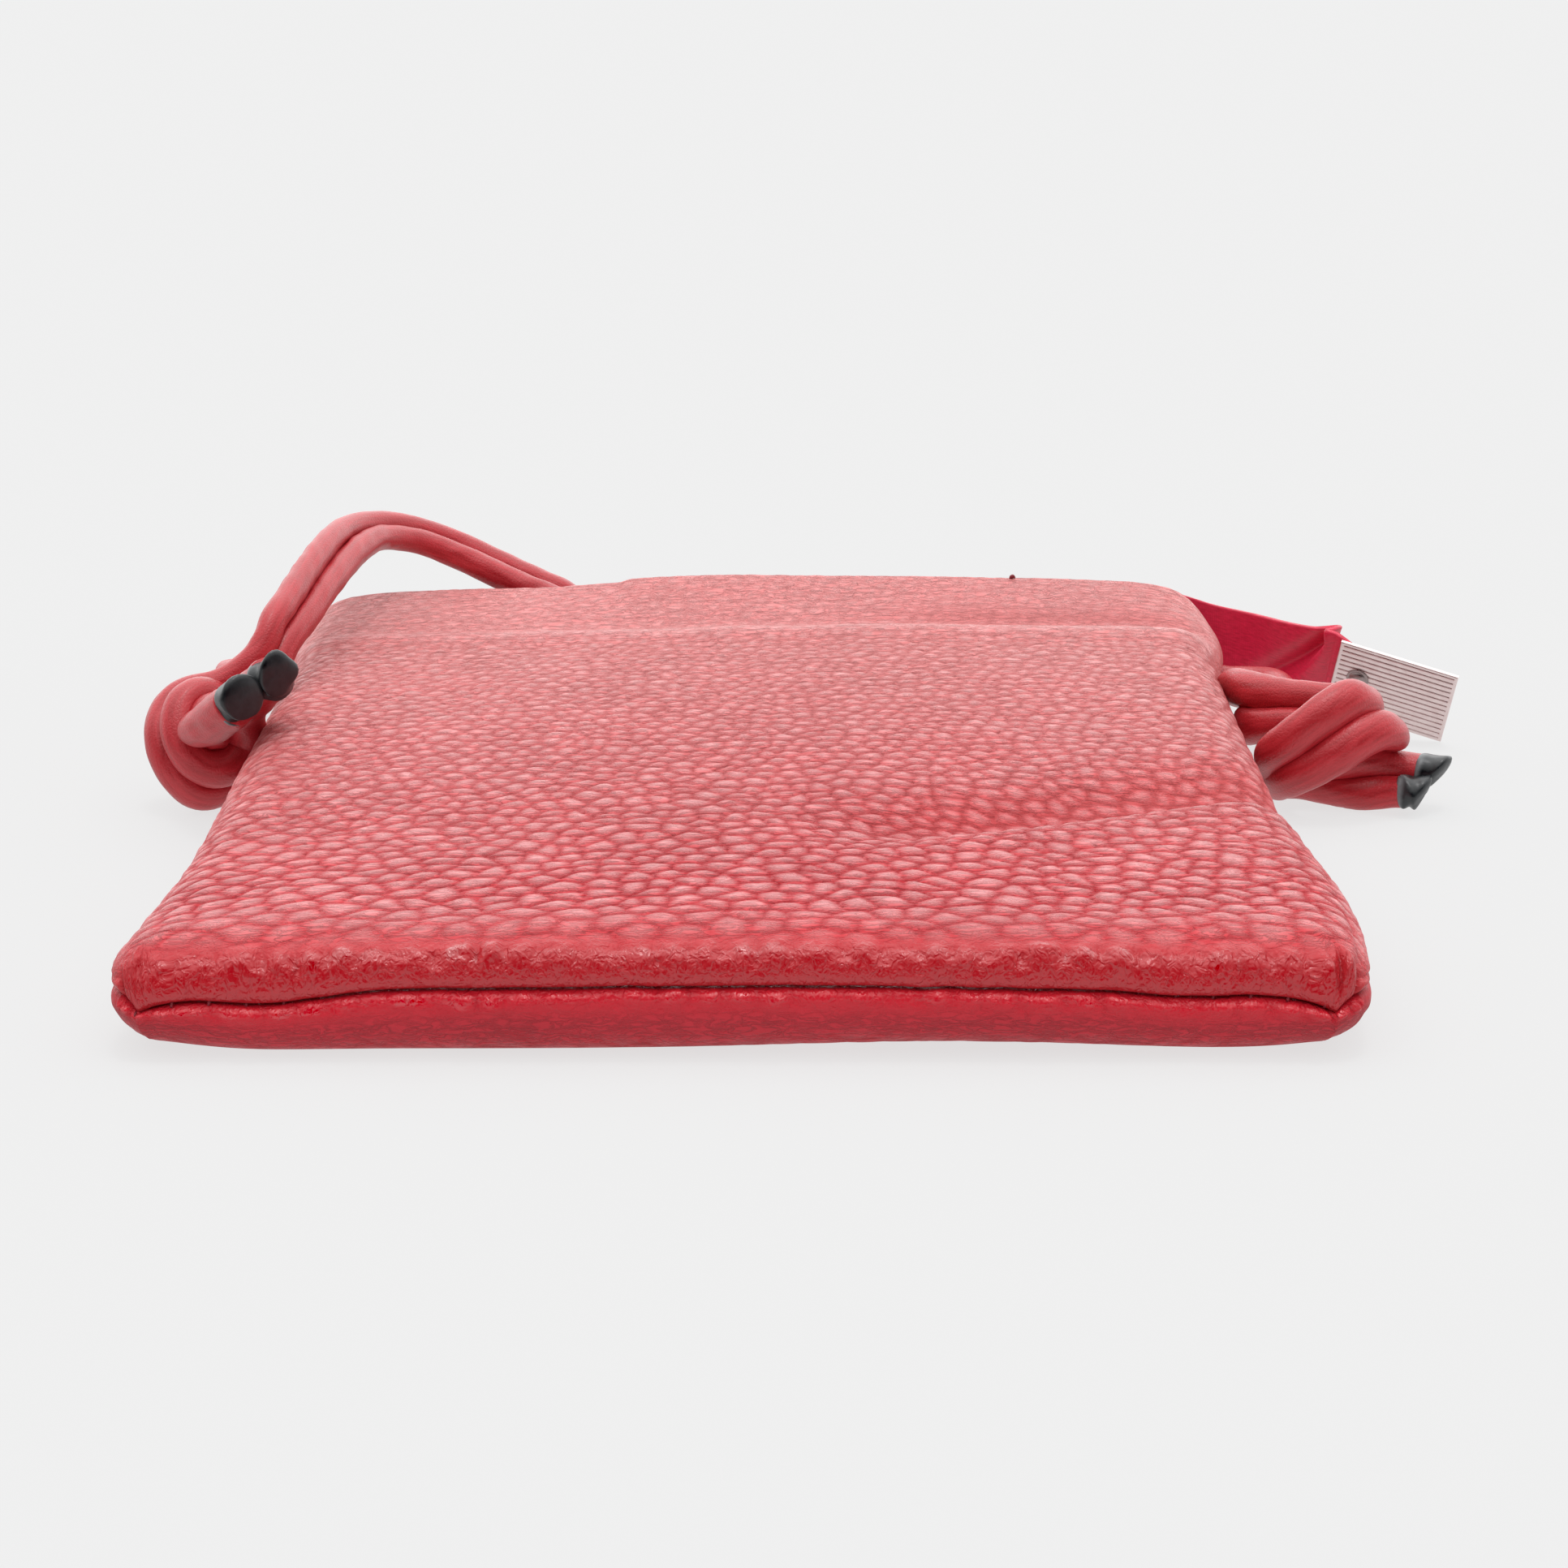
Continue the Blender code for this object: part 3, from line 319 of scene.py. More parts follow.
# Drum-dyed cowhide with a milled pebble grain under a thin acrylic finish. The finish mirrors the bright room
# at a low angle, which turns the pebble tops pink. The colour is darker in the creases and paler on the
# pebble tops: partly deep dye, partly painted shade in the creases and a painted highlight on the tops.
# Rubbing over the turned edges polishes them.
def makeLeather(name, hide):
    material, shader, add = newMaterial(name)
    place = add("Attribute", {"attribute_name": "hidePlace"}).outputs["Vector"]
    grain = add("Attribute", {"attribute_name": "grainTop"}).outputs["Fac"]
    polishAndShade = add("Attribute", {"attribute_name": "edgePolish"}).outputs["Fac"]
    # hairline wrinkles, about a millimetre apart, that run across the hide and bend round each pebble
    lifted = add("Math", {"operation": "MULTIPLY", 1: hide["hairBend"]}, {0: grain})
    bent = add("VectorMath", {"operation": "ADD"}, {0: place, 1: add("CombineXYZ", None, {"Y": lifted})})
    stretched = add("Mapping", {"Scale": hide["hairScale"]}, {"Vector": bent})
    hairs = add("TexNoise", {"Scale": 1.0, "Detail": 3.0, "Roughness": 0.6, "Distortion": 0.8},
                {"Vector": stretched})
    centred = add("Math", {"operation": "SUBTRACT", 1: 0.5}, {0: hairs})
    fromLine = add("Math", {"operation": "ABSOLUTE"}, {0: centred})
    hairLines = add("MapRange", {"From Max": hide["hairWidth"]}, {"Value": fromLine})
    hairShare = add("MapRange", {"From Min": 0.2, "To Min": 1.0, "To Max": hide["hairOnTops"]},
                    {"Value": grain})
    # fine pores and milling creases
    pores = add("TexNoise", {"Scale": hide["poreScale"], "Detail": 4.0, "Roughness": 0.65}, {"Vector": place})
    # fine wrinkles that run up the turned edge, where the stitches gather it
    gathered = add("Mapping", {"Scale": hide["tuftScale"]}, {"Vector": place})
    tufts = add("TexNoise", {"Scale": 1.0, "Detail": 1.5, "Roughness": 0.5, "Distortion": 1.0},
                {"Vector": gathered})
    tuftEdge = add("MapRange", {"From Min": 0.3, "From Max": 0.7}, {"Value": tufts})
    patches = add("TexNoise", {"Scale": 0.045, "Detail": 3.0}, {"Vector": place})
    # colour: darker in the creases and lighter on the tops, partly deep dye and partly painted shade in the
    # creases and a painted highlight on the tops
    tops = add("ValToRGB", {"stops": ((0.0, hide["crease"]), (0.3, hide["slope"]), (0.95, hide["top"]))},
               {"Fac": grain})
    freeOfPolishAndShade = add("MapRange", {"From Max": 0.6, "To Min": 1.0, "To Max": 0.0}, {"Value": polishAndShade})
    hairDip = add("MapRange", {"To Min": hide["hairDark"], "To Max": 0.0}, {"Value": hairLines})
    hairDip = add("Math", {"operation": "MULTIPLY"}, {0: hairDip, 1: hairShare})
    hairDark = add("Math", {"operation": "SUBTRACT", 0: 1.0}, {1: hairDip})
    patchTone = add("MapRange", {"From Min": 0.3, "From Max": 0.7, "To Min": 0.92, "To Max": 1.08},
                    {"Value": patches})
    tone = add("Math", {"operation": "MULTIPLY"}, {0: hairDark, 1: patchTone})
    toned = add("VectorMath", {"operation": "SCALE"}, {0: tops, "Scale": tone})
    # painted reflection: the hide is painted paler towards the mouth, in place of the bright room mirrored at
    # a low angle
    lengthwise = add("SeparateXYZ", None, {"Vector": place}).outputs["Y"]
    fade = add("MapRange", {"From Min": -65.0, "From Max": 80.0, "To Max": hide["fade"]},
               {"Value": lengthwise})
    paintedReflectionMix = add("Mix", {"data_type": "RGBA", 7: fromHex(hide["pale"])}, {0: fade, 6: toned})
    # the edge colour mixes in by the polish, which also carries painted shade in the front's hollows
    polishedAndShaded = add("Mix", {"data_type": "RGBA", 7: fromHex(hide["edge"])}, {0: polishAndShade, 6: paintedReflectionMix.outputs[2]})
    # roughness: matter in the creases, smoother over the turned edges
    rough = add("MapRange", {"To Min": hide["creaseRough"], "To Max": hide["topRough"]}, {"Value": grain})
    rough = add("Mix", {"data_type": "FLOAT", 3: hide["edgeRough"]}, {0: polishAndShade, 2: rough})
    spread = add("MapRange", {"To Min": -0.07, "To Max": 0.07}, {"Value": pores})
    rough = add("Math", {"operation": "ADD"}, {0: rough, 1: spread})
    # bump: hairlines strongest beside the creases, pores all over, tufts on the turned edge
    hairHeight = add("Math", {"operation": "MULTIPLY"}, {0: hairLines, 1: hairShare})
    hairHeight = add("Math", {"operation": "MULTIPLY"}, {0: hairHeight, 1: freeOfPolishAndShade})
    bump = add("Bump", {"Strength": hide["hairBump"], "Distance": 0.00016}, {"Height": hairHeight})
    bump = add("Bump", {"Strength": hide["poreBump"], "Distance": 0.00006}, {"Height": pores, "Normal": bump})
    edgeBump = add("Math", {"operation": "MULTIPLY", 1: hide["tuftBump"]}, {0: polishAndShade})
    bump = add("Bump", {"Distance": 0.00022}, {"Height": tuftEdge, "Normal": bump, "Strength": edgeBump})
    # the finish has worn out of the creases, and is thickest on the turned edge
    mirror = add("MapRange", {"To Min": hide["creaseMirror"], "To Max": hide["topMirror"]}, {"Value": grain})
    coat = add("MapRange", {"From Min": 0.74, "To Max": hide["edgeCoat"]}, {"Value": polishAndShade})
    # dust-fine scuffing on the tops alone gives the pale low-angle look
    scuffed = add("Math", {"operation": "MULTIPLY"}, {0: grain, 1: freeOfPolishAndShade})
    sheen = add("MapRange", {"To Max": hide["sheen"]}, {"Value": scuffed})
    setNode(shader, {"IOR": hide["ior"], "Coat IOR": hide["coatIor"], "Coat Roughness": hide["coatRough"],
                     "Sheen Roughness": hide["sheenRough"], "Sheen Tint": fromHex(hide["sheenTint"])},
            {"Base Color": polishedAndShaded.outputs[2], "Roughness": rough, "Normal": bump, "Coat Normal": bump,
             "Specular IOR Level": mirror, "Coat Weight": coat, "Sheen Weight": sheen})
    return material


# the ramp's crease, slope and top colours: the darker creases are deep dye and painted shade, the paler tops
# a painted highlight
frontHide = {
    # pale and fade paint the hide paler towards the mouth: a painted reflection of the bright room at a low
    # angle
    "crease": "#AE1C26", "slope": "#C63840", "top": "#D46D70", "edge": "#AC0A18", "pale": "#ECB4B0",
    "fade": 0.42, "hairScale": (0.42, 1.15, 1.0), "hairBend": 1.0, "hairWidth": 0.09, "hairOnTops": 0.8,
    "hairDark": 0.15, "hairBump": 1.0, "poreScale": 3.2, "poreBump": 0.5, "tuftScale": (1.2, 1.0, 1.0),
    "tuftBump": 0.95, "creaseRough": 0.64, "topRough": 0.36, "edgeRough": 0.26, "creaseMirror": 0.12,
    "topMirror": 0.5, "ior": 1.5, "edgeCoat": 1.0, "coatIor": 1.9, "coatRough": 0.11, "sheen": 0.36,
    "sheenRough": 0.34, "sheenTint": "#FFD4D0",
}
frontLeather = makeLeather("milledCowhideFront", frontHide)
# the back's edge colour is brighter than its slope: polish, and also a painted lit band just below the seam
backHide = dict(frontHide, hairDark=0.2, hairBump=0.8, poreBump=0.9, slope="#B8202E", top="#C83A46",
                crease="#A41622", edge="#CC1C2C", sheen=0.22, fade=0.0)
backLeather = makeLeather("milledCowhideBack", backHide)


# Smooth cowhide lace, cut in strips, folded and rolled: fine streaks along it, and a waxed surface that
# catches the light on the bends
def makeLace(name, finish, swept=True):
    material, shader, add = newMaterial(name)
    if swept:
        place = add("Attribute", {"attribute_name": "lacePlace"}).outputs["Vector"]
    else:
        place = add("Mapping", {"Scale": (1000, 1000, 1000)}, {"Vector": add("TexCoord").outputs["Object"]})
    drawn = add("Mapping", {"Scale": (0.18, 1.6, 1.6)}, {"Vector": place})
    streaks = add("TexNoise", {"Scale": 1.0, "Detail": 4.0, "Roughness": 0.6}, {"Vector": drawn})
    fineGrain = add("TexVoronoi", {"Scale": 1.7, "feature": "DISTANCE_TO_EDGE"}, {"Vector": place})
    grainLines = add("MapRange", {"From Max": 0.18}, {"Value": fineGrain})
    colour = add("ValToRGB", {"stops": ((0.32, finish["dark"]), (0.66, finish["light"]))}, {"Fac": streaks})
    rough = add("MapRange", {"To Min": finish["rough"] - 0.08, "To Max": finish["rough"] + 0.08},
                {"Value": streaks})
    bump = add("Bump", {"Strength": 0.3, "Distance": 0.00015}, {"Height": streaks})
    bump = add("Bump", {"Strength": 0.35, "Distance": 0.00008}, {"Height": grainLines, "Normal": bump})
    setNode(shader, {"Coat Weight": 0.16, "Coat Roughness": 0.26},
            {"Base Color": colour, "Roughness": rough, "Normal": bump})
    return material


lace = {"dark": "#A0121C", "light": "#BA2630", "rough": 0.42}
laceLeather = makeLace("waxedLace", lace)
heldLeather = makeLace("waxedLaceHeld", lace, False)

# Vulcanised rubber dip: matt black with faint flow marks, and a thin feathered rim that dries grey
rubberDip, shader, add = newMaterial("vulcanisedRubberDip")
flow = add("TexNoise", {"Scale": 900.0, "Detail": 4.0}, {"Vector": add("TexCoord").outputs["Object"]})
rim = add("Attribute", {"attribute_name": "dipRim"}).outputs["Fac"]
black = add("ValToRGB", {"stops": ((0.0, "#16181A"), (1.0, "#2C2F32"))}, {"Fac": flow})
rimmed = add("Mix", {"data_type": "RGBA", 7: fromHex("#686C6E")}, {0: rim, 6: black})
bump = add("Bump", {"Strength": 0.5, "Distance": 0.0001}, {"Height": flow})
setNode(shader, {"Roughness": 0.36, "IOR": 1.52}, {"Base Color": rimmed.outputs[2], "Normal": bump})


# Polyester satin: warp floats about 0.15 mm wide, drawn at 0.4 mm so that they show, give a soft
# highlight across the threads
def makeSatin(name, satin):
    material, shader, add = newMaterial(name)
    place = add("Attribute", {"attribute_name": "clothPlace"}).outputs["Vector"]
    drawn = add("Mapping", {"Scale": (3.2, 0.6, 1.0)}, {"Vector": place})
    floats = add("TexNoise", {"Scale": 1.0, "Detail": 3.0}, {"Vector": drawn})
    weft = add("TexWave", {"Scale": 0.8, "bands_direction": "Y", "Distortion": 0.6}, {"Vector": place})
    colour = add("ValToRGB", {"stops": ((0.3, satin["dark"]), (0.7, satin["light"]))}, {"Fac": floats})
    weave = add("Math", {"operation": "MULTIPLY"}, {0: floats, 1: weft.outputs["Fac"]})
    bump = add("Bump", {"Strength": 0.3, "Distance": 0.00006}, {"Height": weave})
    setNode(shader, {"Roughness": satin["rough"], "Sheen Weight": 0.15, "Sheen Roughness": 0.4,
                     "Sheen Tint": fromHex("#E85070")}, {"Base Color": colour, "Normal": bump})
    return material


tabSatin = makeSatin("polyesterSatinTab", {"dark": "#BE1036", "light": "#DA1E46", "rough": 0.46})
liningSatin = makeSatin("polyesterSatinLining", {"dark": "#94081F", "light": "#AC102C", "rough": 0.48})



# Nickel-plated zinc casting: the plating is soft-bright, and the pink in its colours is a painted reflection
# of the red leather. The rivet's plating is older and duller
def makeMetal(name, dark, light):
    material, shader, add = newMaterial(name)
    brushed = add("TexNoise", {"Scale": 700.0, "Detail": 5.0}, {"Vector": add("TexCoord").outputs["Object"]})
    plating = add("ValToRGB", {"stops": ((0.0, dark), (1.0, light))}, {"Fac": brushed})
    rough = add("MapRange", {"To Min": 0.26, "To Max": 0.44}, {"Value": brushed})
    setNode(shader, {"Metallic": 0.6}, {"Base Color": plating, "Roughness": rough})
    return material


tagMetal = makeMetal("nickelPlatedZinc", "#D6BEBC", "#F0E2E0")
rivetMetal = makeMetal("nickelPlatedZincWorn", "#7C6C6A", "#B4A4A2")

# Bonded polyester thread, three-ply, waxed
threadPly, shader, add = newMaterial("bondedThread")
twist = add("TexWave", {"Scale": 1600.0, "bands_direction": "DIAGONAL", "Distortion": 1.0},
            {"Vector": add("TexCoord").outputs["Object"]}).outputs["Fac"]
ply = add("ValToRGB", {"stops": ((0.0, "#6E101C"), (1.0, "#8A1A28"))}, {"Fac": twist})
setNode(shader, {"Roughness": 0.5}, {"Base Color": ply})
print("materials made")

# drawcords: the same route rows as the frame, in millimetres from the floor under the mouth's corners.
# Each row is the middle of a pair and the way from its second strand to its first.

leftCord = {
    "name": "left", "side": -1, "slotY": 85.5, "slantWay": 1.2,
    "freeSwell": (1.0,) * 6 + (1.08, 1.16, 1.2, 1.2, 1.2, 1.2, 1.16, 1.08) + (1.0,) * 8, "tailRound": 1.0,
    "swell": (1.0, 1.0, 1.08, 1.16, 1.2, 1.24, 1.24, 1.2, 1.2, 1.2, 1.2, 1.2, 1.25, 1.35, 1.45, 1.55, 1.65,
              1.68, 1.66, 1.6, 1.5),
    "free": (
        ((-6.0, -3.5, 8.8), (-0.8, -2.5, 0.0)), ((-10.3, 0.7, 7.5), (-2.4, -1.1, 0.0)),
        ((-10.8, 7.2, 6.0), (-2.6, 0.3, 0.0)), ((-6.4, 13.3, 4.6), (-1.8, 1.9, 0.0)),
        ((2.0, 16.8, 3.4), (-0.6, 2.5, 0.2)), ((14.0, 17.9, 3.0), (0.0, 2.6, 0.2)),
        ((28.0, 17.5, 3.7), (0.0, 2.6, 0.2)), ((40.0, 16.0, 6.2), (0.0, 2.6, 0.3)),
        ((48.0, 14.0, 11.5), (0.0, 2.6, 0.3)), ((47.5, 11.5, 17.2), (0.0, 2.6, 0.3)),
        ((41.4, 10.4, 20.6), (0.0, 2.5, 0.4)), ((35.0, 9.5, 23.8), (0.0, 2.5, 0.4)),
        ((29.0, 8.4, 27.0), (0.0, 2.5, 0.5)), ((23.4, 6.5, 29.9), (0.0, 2.5, 0.6)),
        ((18.8, 3.5, 31.8), (-0.3, 2.4, 0.8)), ((15.2, -0.9, 33.1), (-1.0, 2.1, 1.0)),
        ((12.8, -6.5, 33.7), (-1.7, 1.4, 1.2)), ((11.0, -13.5, 33.6), (-2.0, 0.6, 1.4)),
        ((9.4, -22.5, 32.6), (-2.0, -0.2, 1.6)), ((7.6, -33.0, 30.6), (-1.8, -0.6, 1.7)),
        ((5.8, -42.5, 28.2), (-1.5, -0.7, 1.9)), ((4.0, -48.7, 25.9), (-1.1, -0.5, 2.2)),
    ),
    "tie": (
        ((1.8, -52.9, 21.4), (-0.7, 0.4, 2.5)), ((-4.6, -56.6, 17.6), (-0.3, 1.8, 1.7)),
        ((-9.0, -57.7, 16.8), (-1.3, 1.7, 1.5)), ((-11.0, -60.3, 15.2), (-2.2, 1.3, 0.6)),
        ((-11.0, -63.6, 12.4), (-2.4, 0.6, -0.6)), ((-8.8, -65.4, 7.6), (-1.7, 0.5, -1.8)),
        ((-5.8, -64.7, 5.1), (-0.9, 1.0, -2.2)), ((-2.6, -62.0, 6.6), (-0.2, 1.4, -2.1)),
        ((-1.8, -59.7, 11.3), (0.3, 2.2, -1.3)), ((-3.5, -59.7, 16.2), (-0.4, 2.5, 0.1)),
        ((-6.1, -61.5, 18.1), (-1.3, 2.1, 0.7)), ((-7.9, -64.2, 17.0), (-2.2, 1.3, 0.5)),
        ((-7.5, -66.6, 13.8), (-2.4, 0.2, -0.9)), ((-5.2, -67.2, 11.2), (-1.2, -0.1, -2.2)),
        ((-3.0, -65.9, 11.0), (0.2, 0.2, -2.5)), ((-2.6, -64.4, 13.2), (1.7, 1.2, -1.4)),
        ((-2.6, -69.3, 16.4), (2.2, 1.2, 0.6)),
    ),
    "tail": (
        ((-0.4, -73.1, 19.2), (2.2, 1.2, 1.2)), ((1.6, -76.3, 21.3), (2.2, 1.3, 1.3)),
        ((4.0, -79.9, 23.8), (2.2, 1.3, 1.4)), ((6.1, -83.1, 25.9), (2.3, 1.3, 1.4)),
    ),
}
rightCord = {
    "name": "right", "side": 1, "slotY": 76.8, "slantWay": 0.6,
    "freeSwell": (1.15, 1.3, 1.42, 1.5, 1.5, 1.45, 1.3, 1.1), "tailRound": 0.45,
    "swell": (1.02, 1.1, 1.25, 1.38, 1.46, 1.5, 1.46, 1.36, 1.26, 1.2, 1.2, 1.2, 1.2, 1.2, 1.2, 1.2, 1.15),
    "free": (
        ((2.2, -13.8, 9.2), (0.0, -1.0, 0.1)), ((4.8, -15.6, 9.4), (-0.8, -0.7, 0.0)),
        ((5.8, -20.2, 9.8), (-1.0, -0.1, -0.1)), ((4.9, -26.5, 10.0), (-0.9, 0.2, 0.1)),
        ((2.6, -33.0, 10.4), (-0.6, 0.2, 0.6)), ((1.3, -39.0, 11.1), (-0.1, 0.3, 0.9)),
        ((3.6, -44.7, 12.2), (0.1, 1.1, 2.3)), ((7.2, -48.5, 13.3), (0.2, 1.1, 2.3)),
    ),
    "tie": (
        ((9.6, -50.1, 13.6), (0.0, 1.2, 2.3)), ((13.0, -51.9, 13.5), (-0.2, 1.2, 2.3)),
        ((16.6, -54.1, 13.3), (-0.7, 1.1, 2.2)), ((19.2, -58.1, 13.9), (-1.5, 0.6, 2.1)),
        ((19.0, -63.5, 15.6), (-1.8, 0.3, 1.9)), ((15.4, -67.7, 16.9), (-1.6, 0.3, 2.1)),
        ((9.8, -70.4, 14.1), (-1.4, 0.2, 2.2)), ((5.0, -69.4, 10.4), (-1.3, -0.2, 2.3)),
        ((2.9, -64.7, 7.4), (-1.0, -0.8, 2.3)), ((3.8, -59.9, 5.1), (-0.5, -1.7, 1.9)),
        ((7.8, -58.6, 4.8), (0.0, -1.8, 1.8)), ((12.6, -59.9, 4.9), (0.2, -1.0, 2.3)),
        ((17.0, -61.1, 5.1), (0.4, 0.6, 2.4)),
    ),
    "tail": (
        ((20.8, -61.9, 5.1), (0.8, 1.7, 2.0)), ((23.0, -62.5, 5.1), (1.0, 2.1, 1.8)),
        ((25.6, -63.3, 5.1), (1.6, 2.1, 1.7)), ((28.4, -64.2, 5.2), (2.2, 2.0, 1.7)),
    ),
}

laceShape = {
    "size": 4.55, "spacing": 4.4, "knotSpacing": 0.93, "flat": 0.94, "roundness": 0.45, "lumps": 0.045,
    "seed": 40, "sides": 28, "step": 0.7, "fineSteps": 20, "ease": 1.6, "inside": 1.6, "leave": 0.8,
    "past": 0.7, "pressed": 1.2, "tailFrom": 22.0, "tailFull": 12.0, "floorGap": 0.03, "grainRadius": 2.4,
}
dipShape = {
    "size": 5.3, "overLace": 1.06, "flat": 0.88, "rings": 24, "length": 4.4, "overlap": 0.9, "slant": 1.7,
    "lumps": 0.2, "lumpRing": 1.1, "lumpPace": 0.12, "seed": 60, "domeFrom": 0.7, "domeReach": 0.31,
    "domePower": 2.8, "lip": 0.08, "lipSpread": 0.06, "rimFrom": 0.08, "rimTo": 0.3,
}
strandLengths = {}


# a smooth curve through the route's own points, read off at even steps, with the sideways way beside it
def drawRoute(places, lies, spacing):
    knots = [Vector(p) for p in places]
    ends = [knots[0] * 2 - knots[1]] + knots + [knots[-1] * 2 - knots[-2]]
    fine = [knots[0]]
    for a, b, c, d in zip(ends, ends[1:], ends[2:], ends[3:]):
        reach = (c - b).length / 3
        leave = (c - a).normalized() * reach
        arrive = (d - b).normalized() * reach
        fine += interpolate_bezier(b, b + leave, c - arrive, c, laceShape["fineSteps"] + 1)[1:]
    fine = np.array(fine)
    run = runLength(fine, 0)
    marks = run[::laceShape["fineSteps"]]
    wanted = np.linspace(0, run[-1], int(run[-1] / spacing) + 1)
    lies = np.array([Vector(lie).normalized() for lie in lies])
    return readOff(wanted, run, fine), readOff(wanted, marks, lies), marks


# rows of a table at the wanted marks
def readOff(wanted, marks, rows):
    return np.stack([np.interp(wanted, marks, rows[:, k]) for k in range(3)], axis=1)


# takes the kinks out of a route: each place becomes the mean of its neighbours
def easeRoute(values, spread):
    reach = int(spread * 3)
    weights = np.exp(-((np.arange(-reach, reach + 1) / spread) ** 2))
    weights /= weights.sum()
    padded = np.concatenate([np.repeat(values[:1], reach, 0), values, np.repeat(values[-1:], reach, 0)])
    eased = np.stack([np.convolve(padded[:, k], weights, "valid") for k in range(values.shape[1])], axis=1)
    fromEnd = np.minimum(np.arange(len(values)), np.arange(len(values))[::-1])
    share = smoothStep(0, reach, fromEnd)[:, None]
    return values * (1 - share) + eased * share


# a tube round the centres; wide and deep are its half sizes along and across the sideways way, and skew
# slants its rings
def sweepTube(name, centres, beside, along, wide, deep, material, extra=None, skew=None):
    sides = laceShape["sides"]
    ahead = np.gradient(centres, axis=0)
    ahead /= np.linalg.norm(ahead, axis=1)[:, None]
    across = beside - ahead * (beside * ahead).sum(1)[:, None]
    across /= np.linalg.norm(across, axis=1)[:, None]
    up = np.cross(ahead, across)
    turn = np.arange(sides) / sides * 2 * math.pi
    cos, sin = np.cos(turn), np.sin(turn)
    points = (centres[:, None, :] + across[:, None, :] * (wide * cos)[:, :, None]
              + up[:, None, :] * (deep * sin)[:, :, None])
    if skew is not None:
        points += ahead[:, None, :] * skew[:, :, None]
    points[..., 2] = np.maximum(points[..., 2], laceShape["floorGap"])
    run = np.repeat(along[:, None], sides, 1)
    radius = laceShape["grainRadius"]
    place = np.stack([run, radius * cos + 0 * run, radius * sin + 0 * run], axis=2)
    attributes = {"lacePlace": place.reshape(-1, 3)}
    for key, values in (extra or {}).items():
        attributes[key] = np.repeat(values[:, None], sides, 1).ravel()
    return makePiece(name, points.reshape(-1, 3), tubeFaces(len(centres), sides), material, attributes)


# small unevenness of a hand-cut lace, seen along it and round it
def lumps(count, seed, size, ring=1.4, pace=0.26):
    turn = np.arange(laceShape["sides"])[None, :] / laceShape["sides"] * 2 * math.pi
    step = np.arange(count)[:, None] * pace
    # a helix through the noise, so that both the lace's length and its girth vary
    u = step + 4 + ring * np.cos(turn)
    v = 9 + ring * np.sin(turn) + 0.4 * step
    return 1 + size * softNoise(u, v, 1.0, seed)


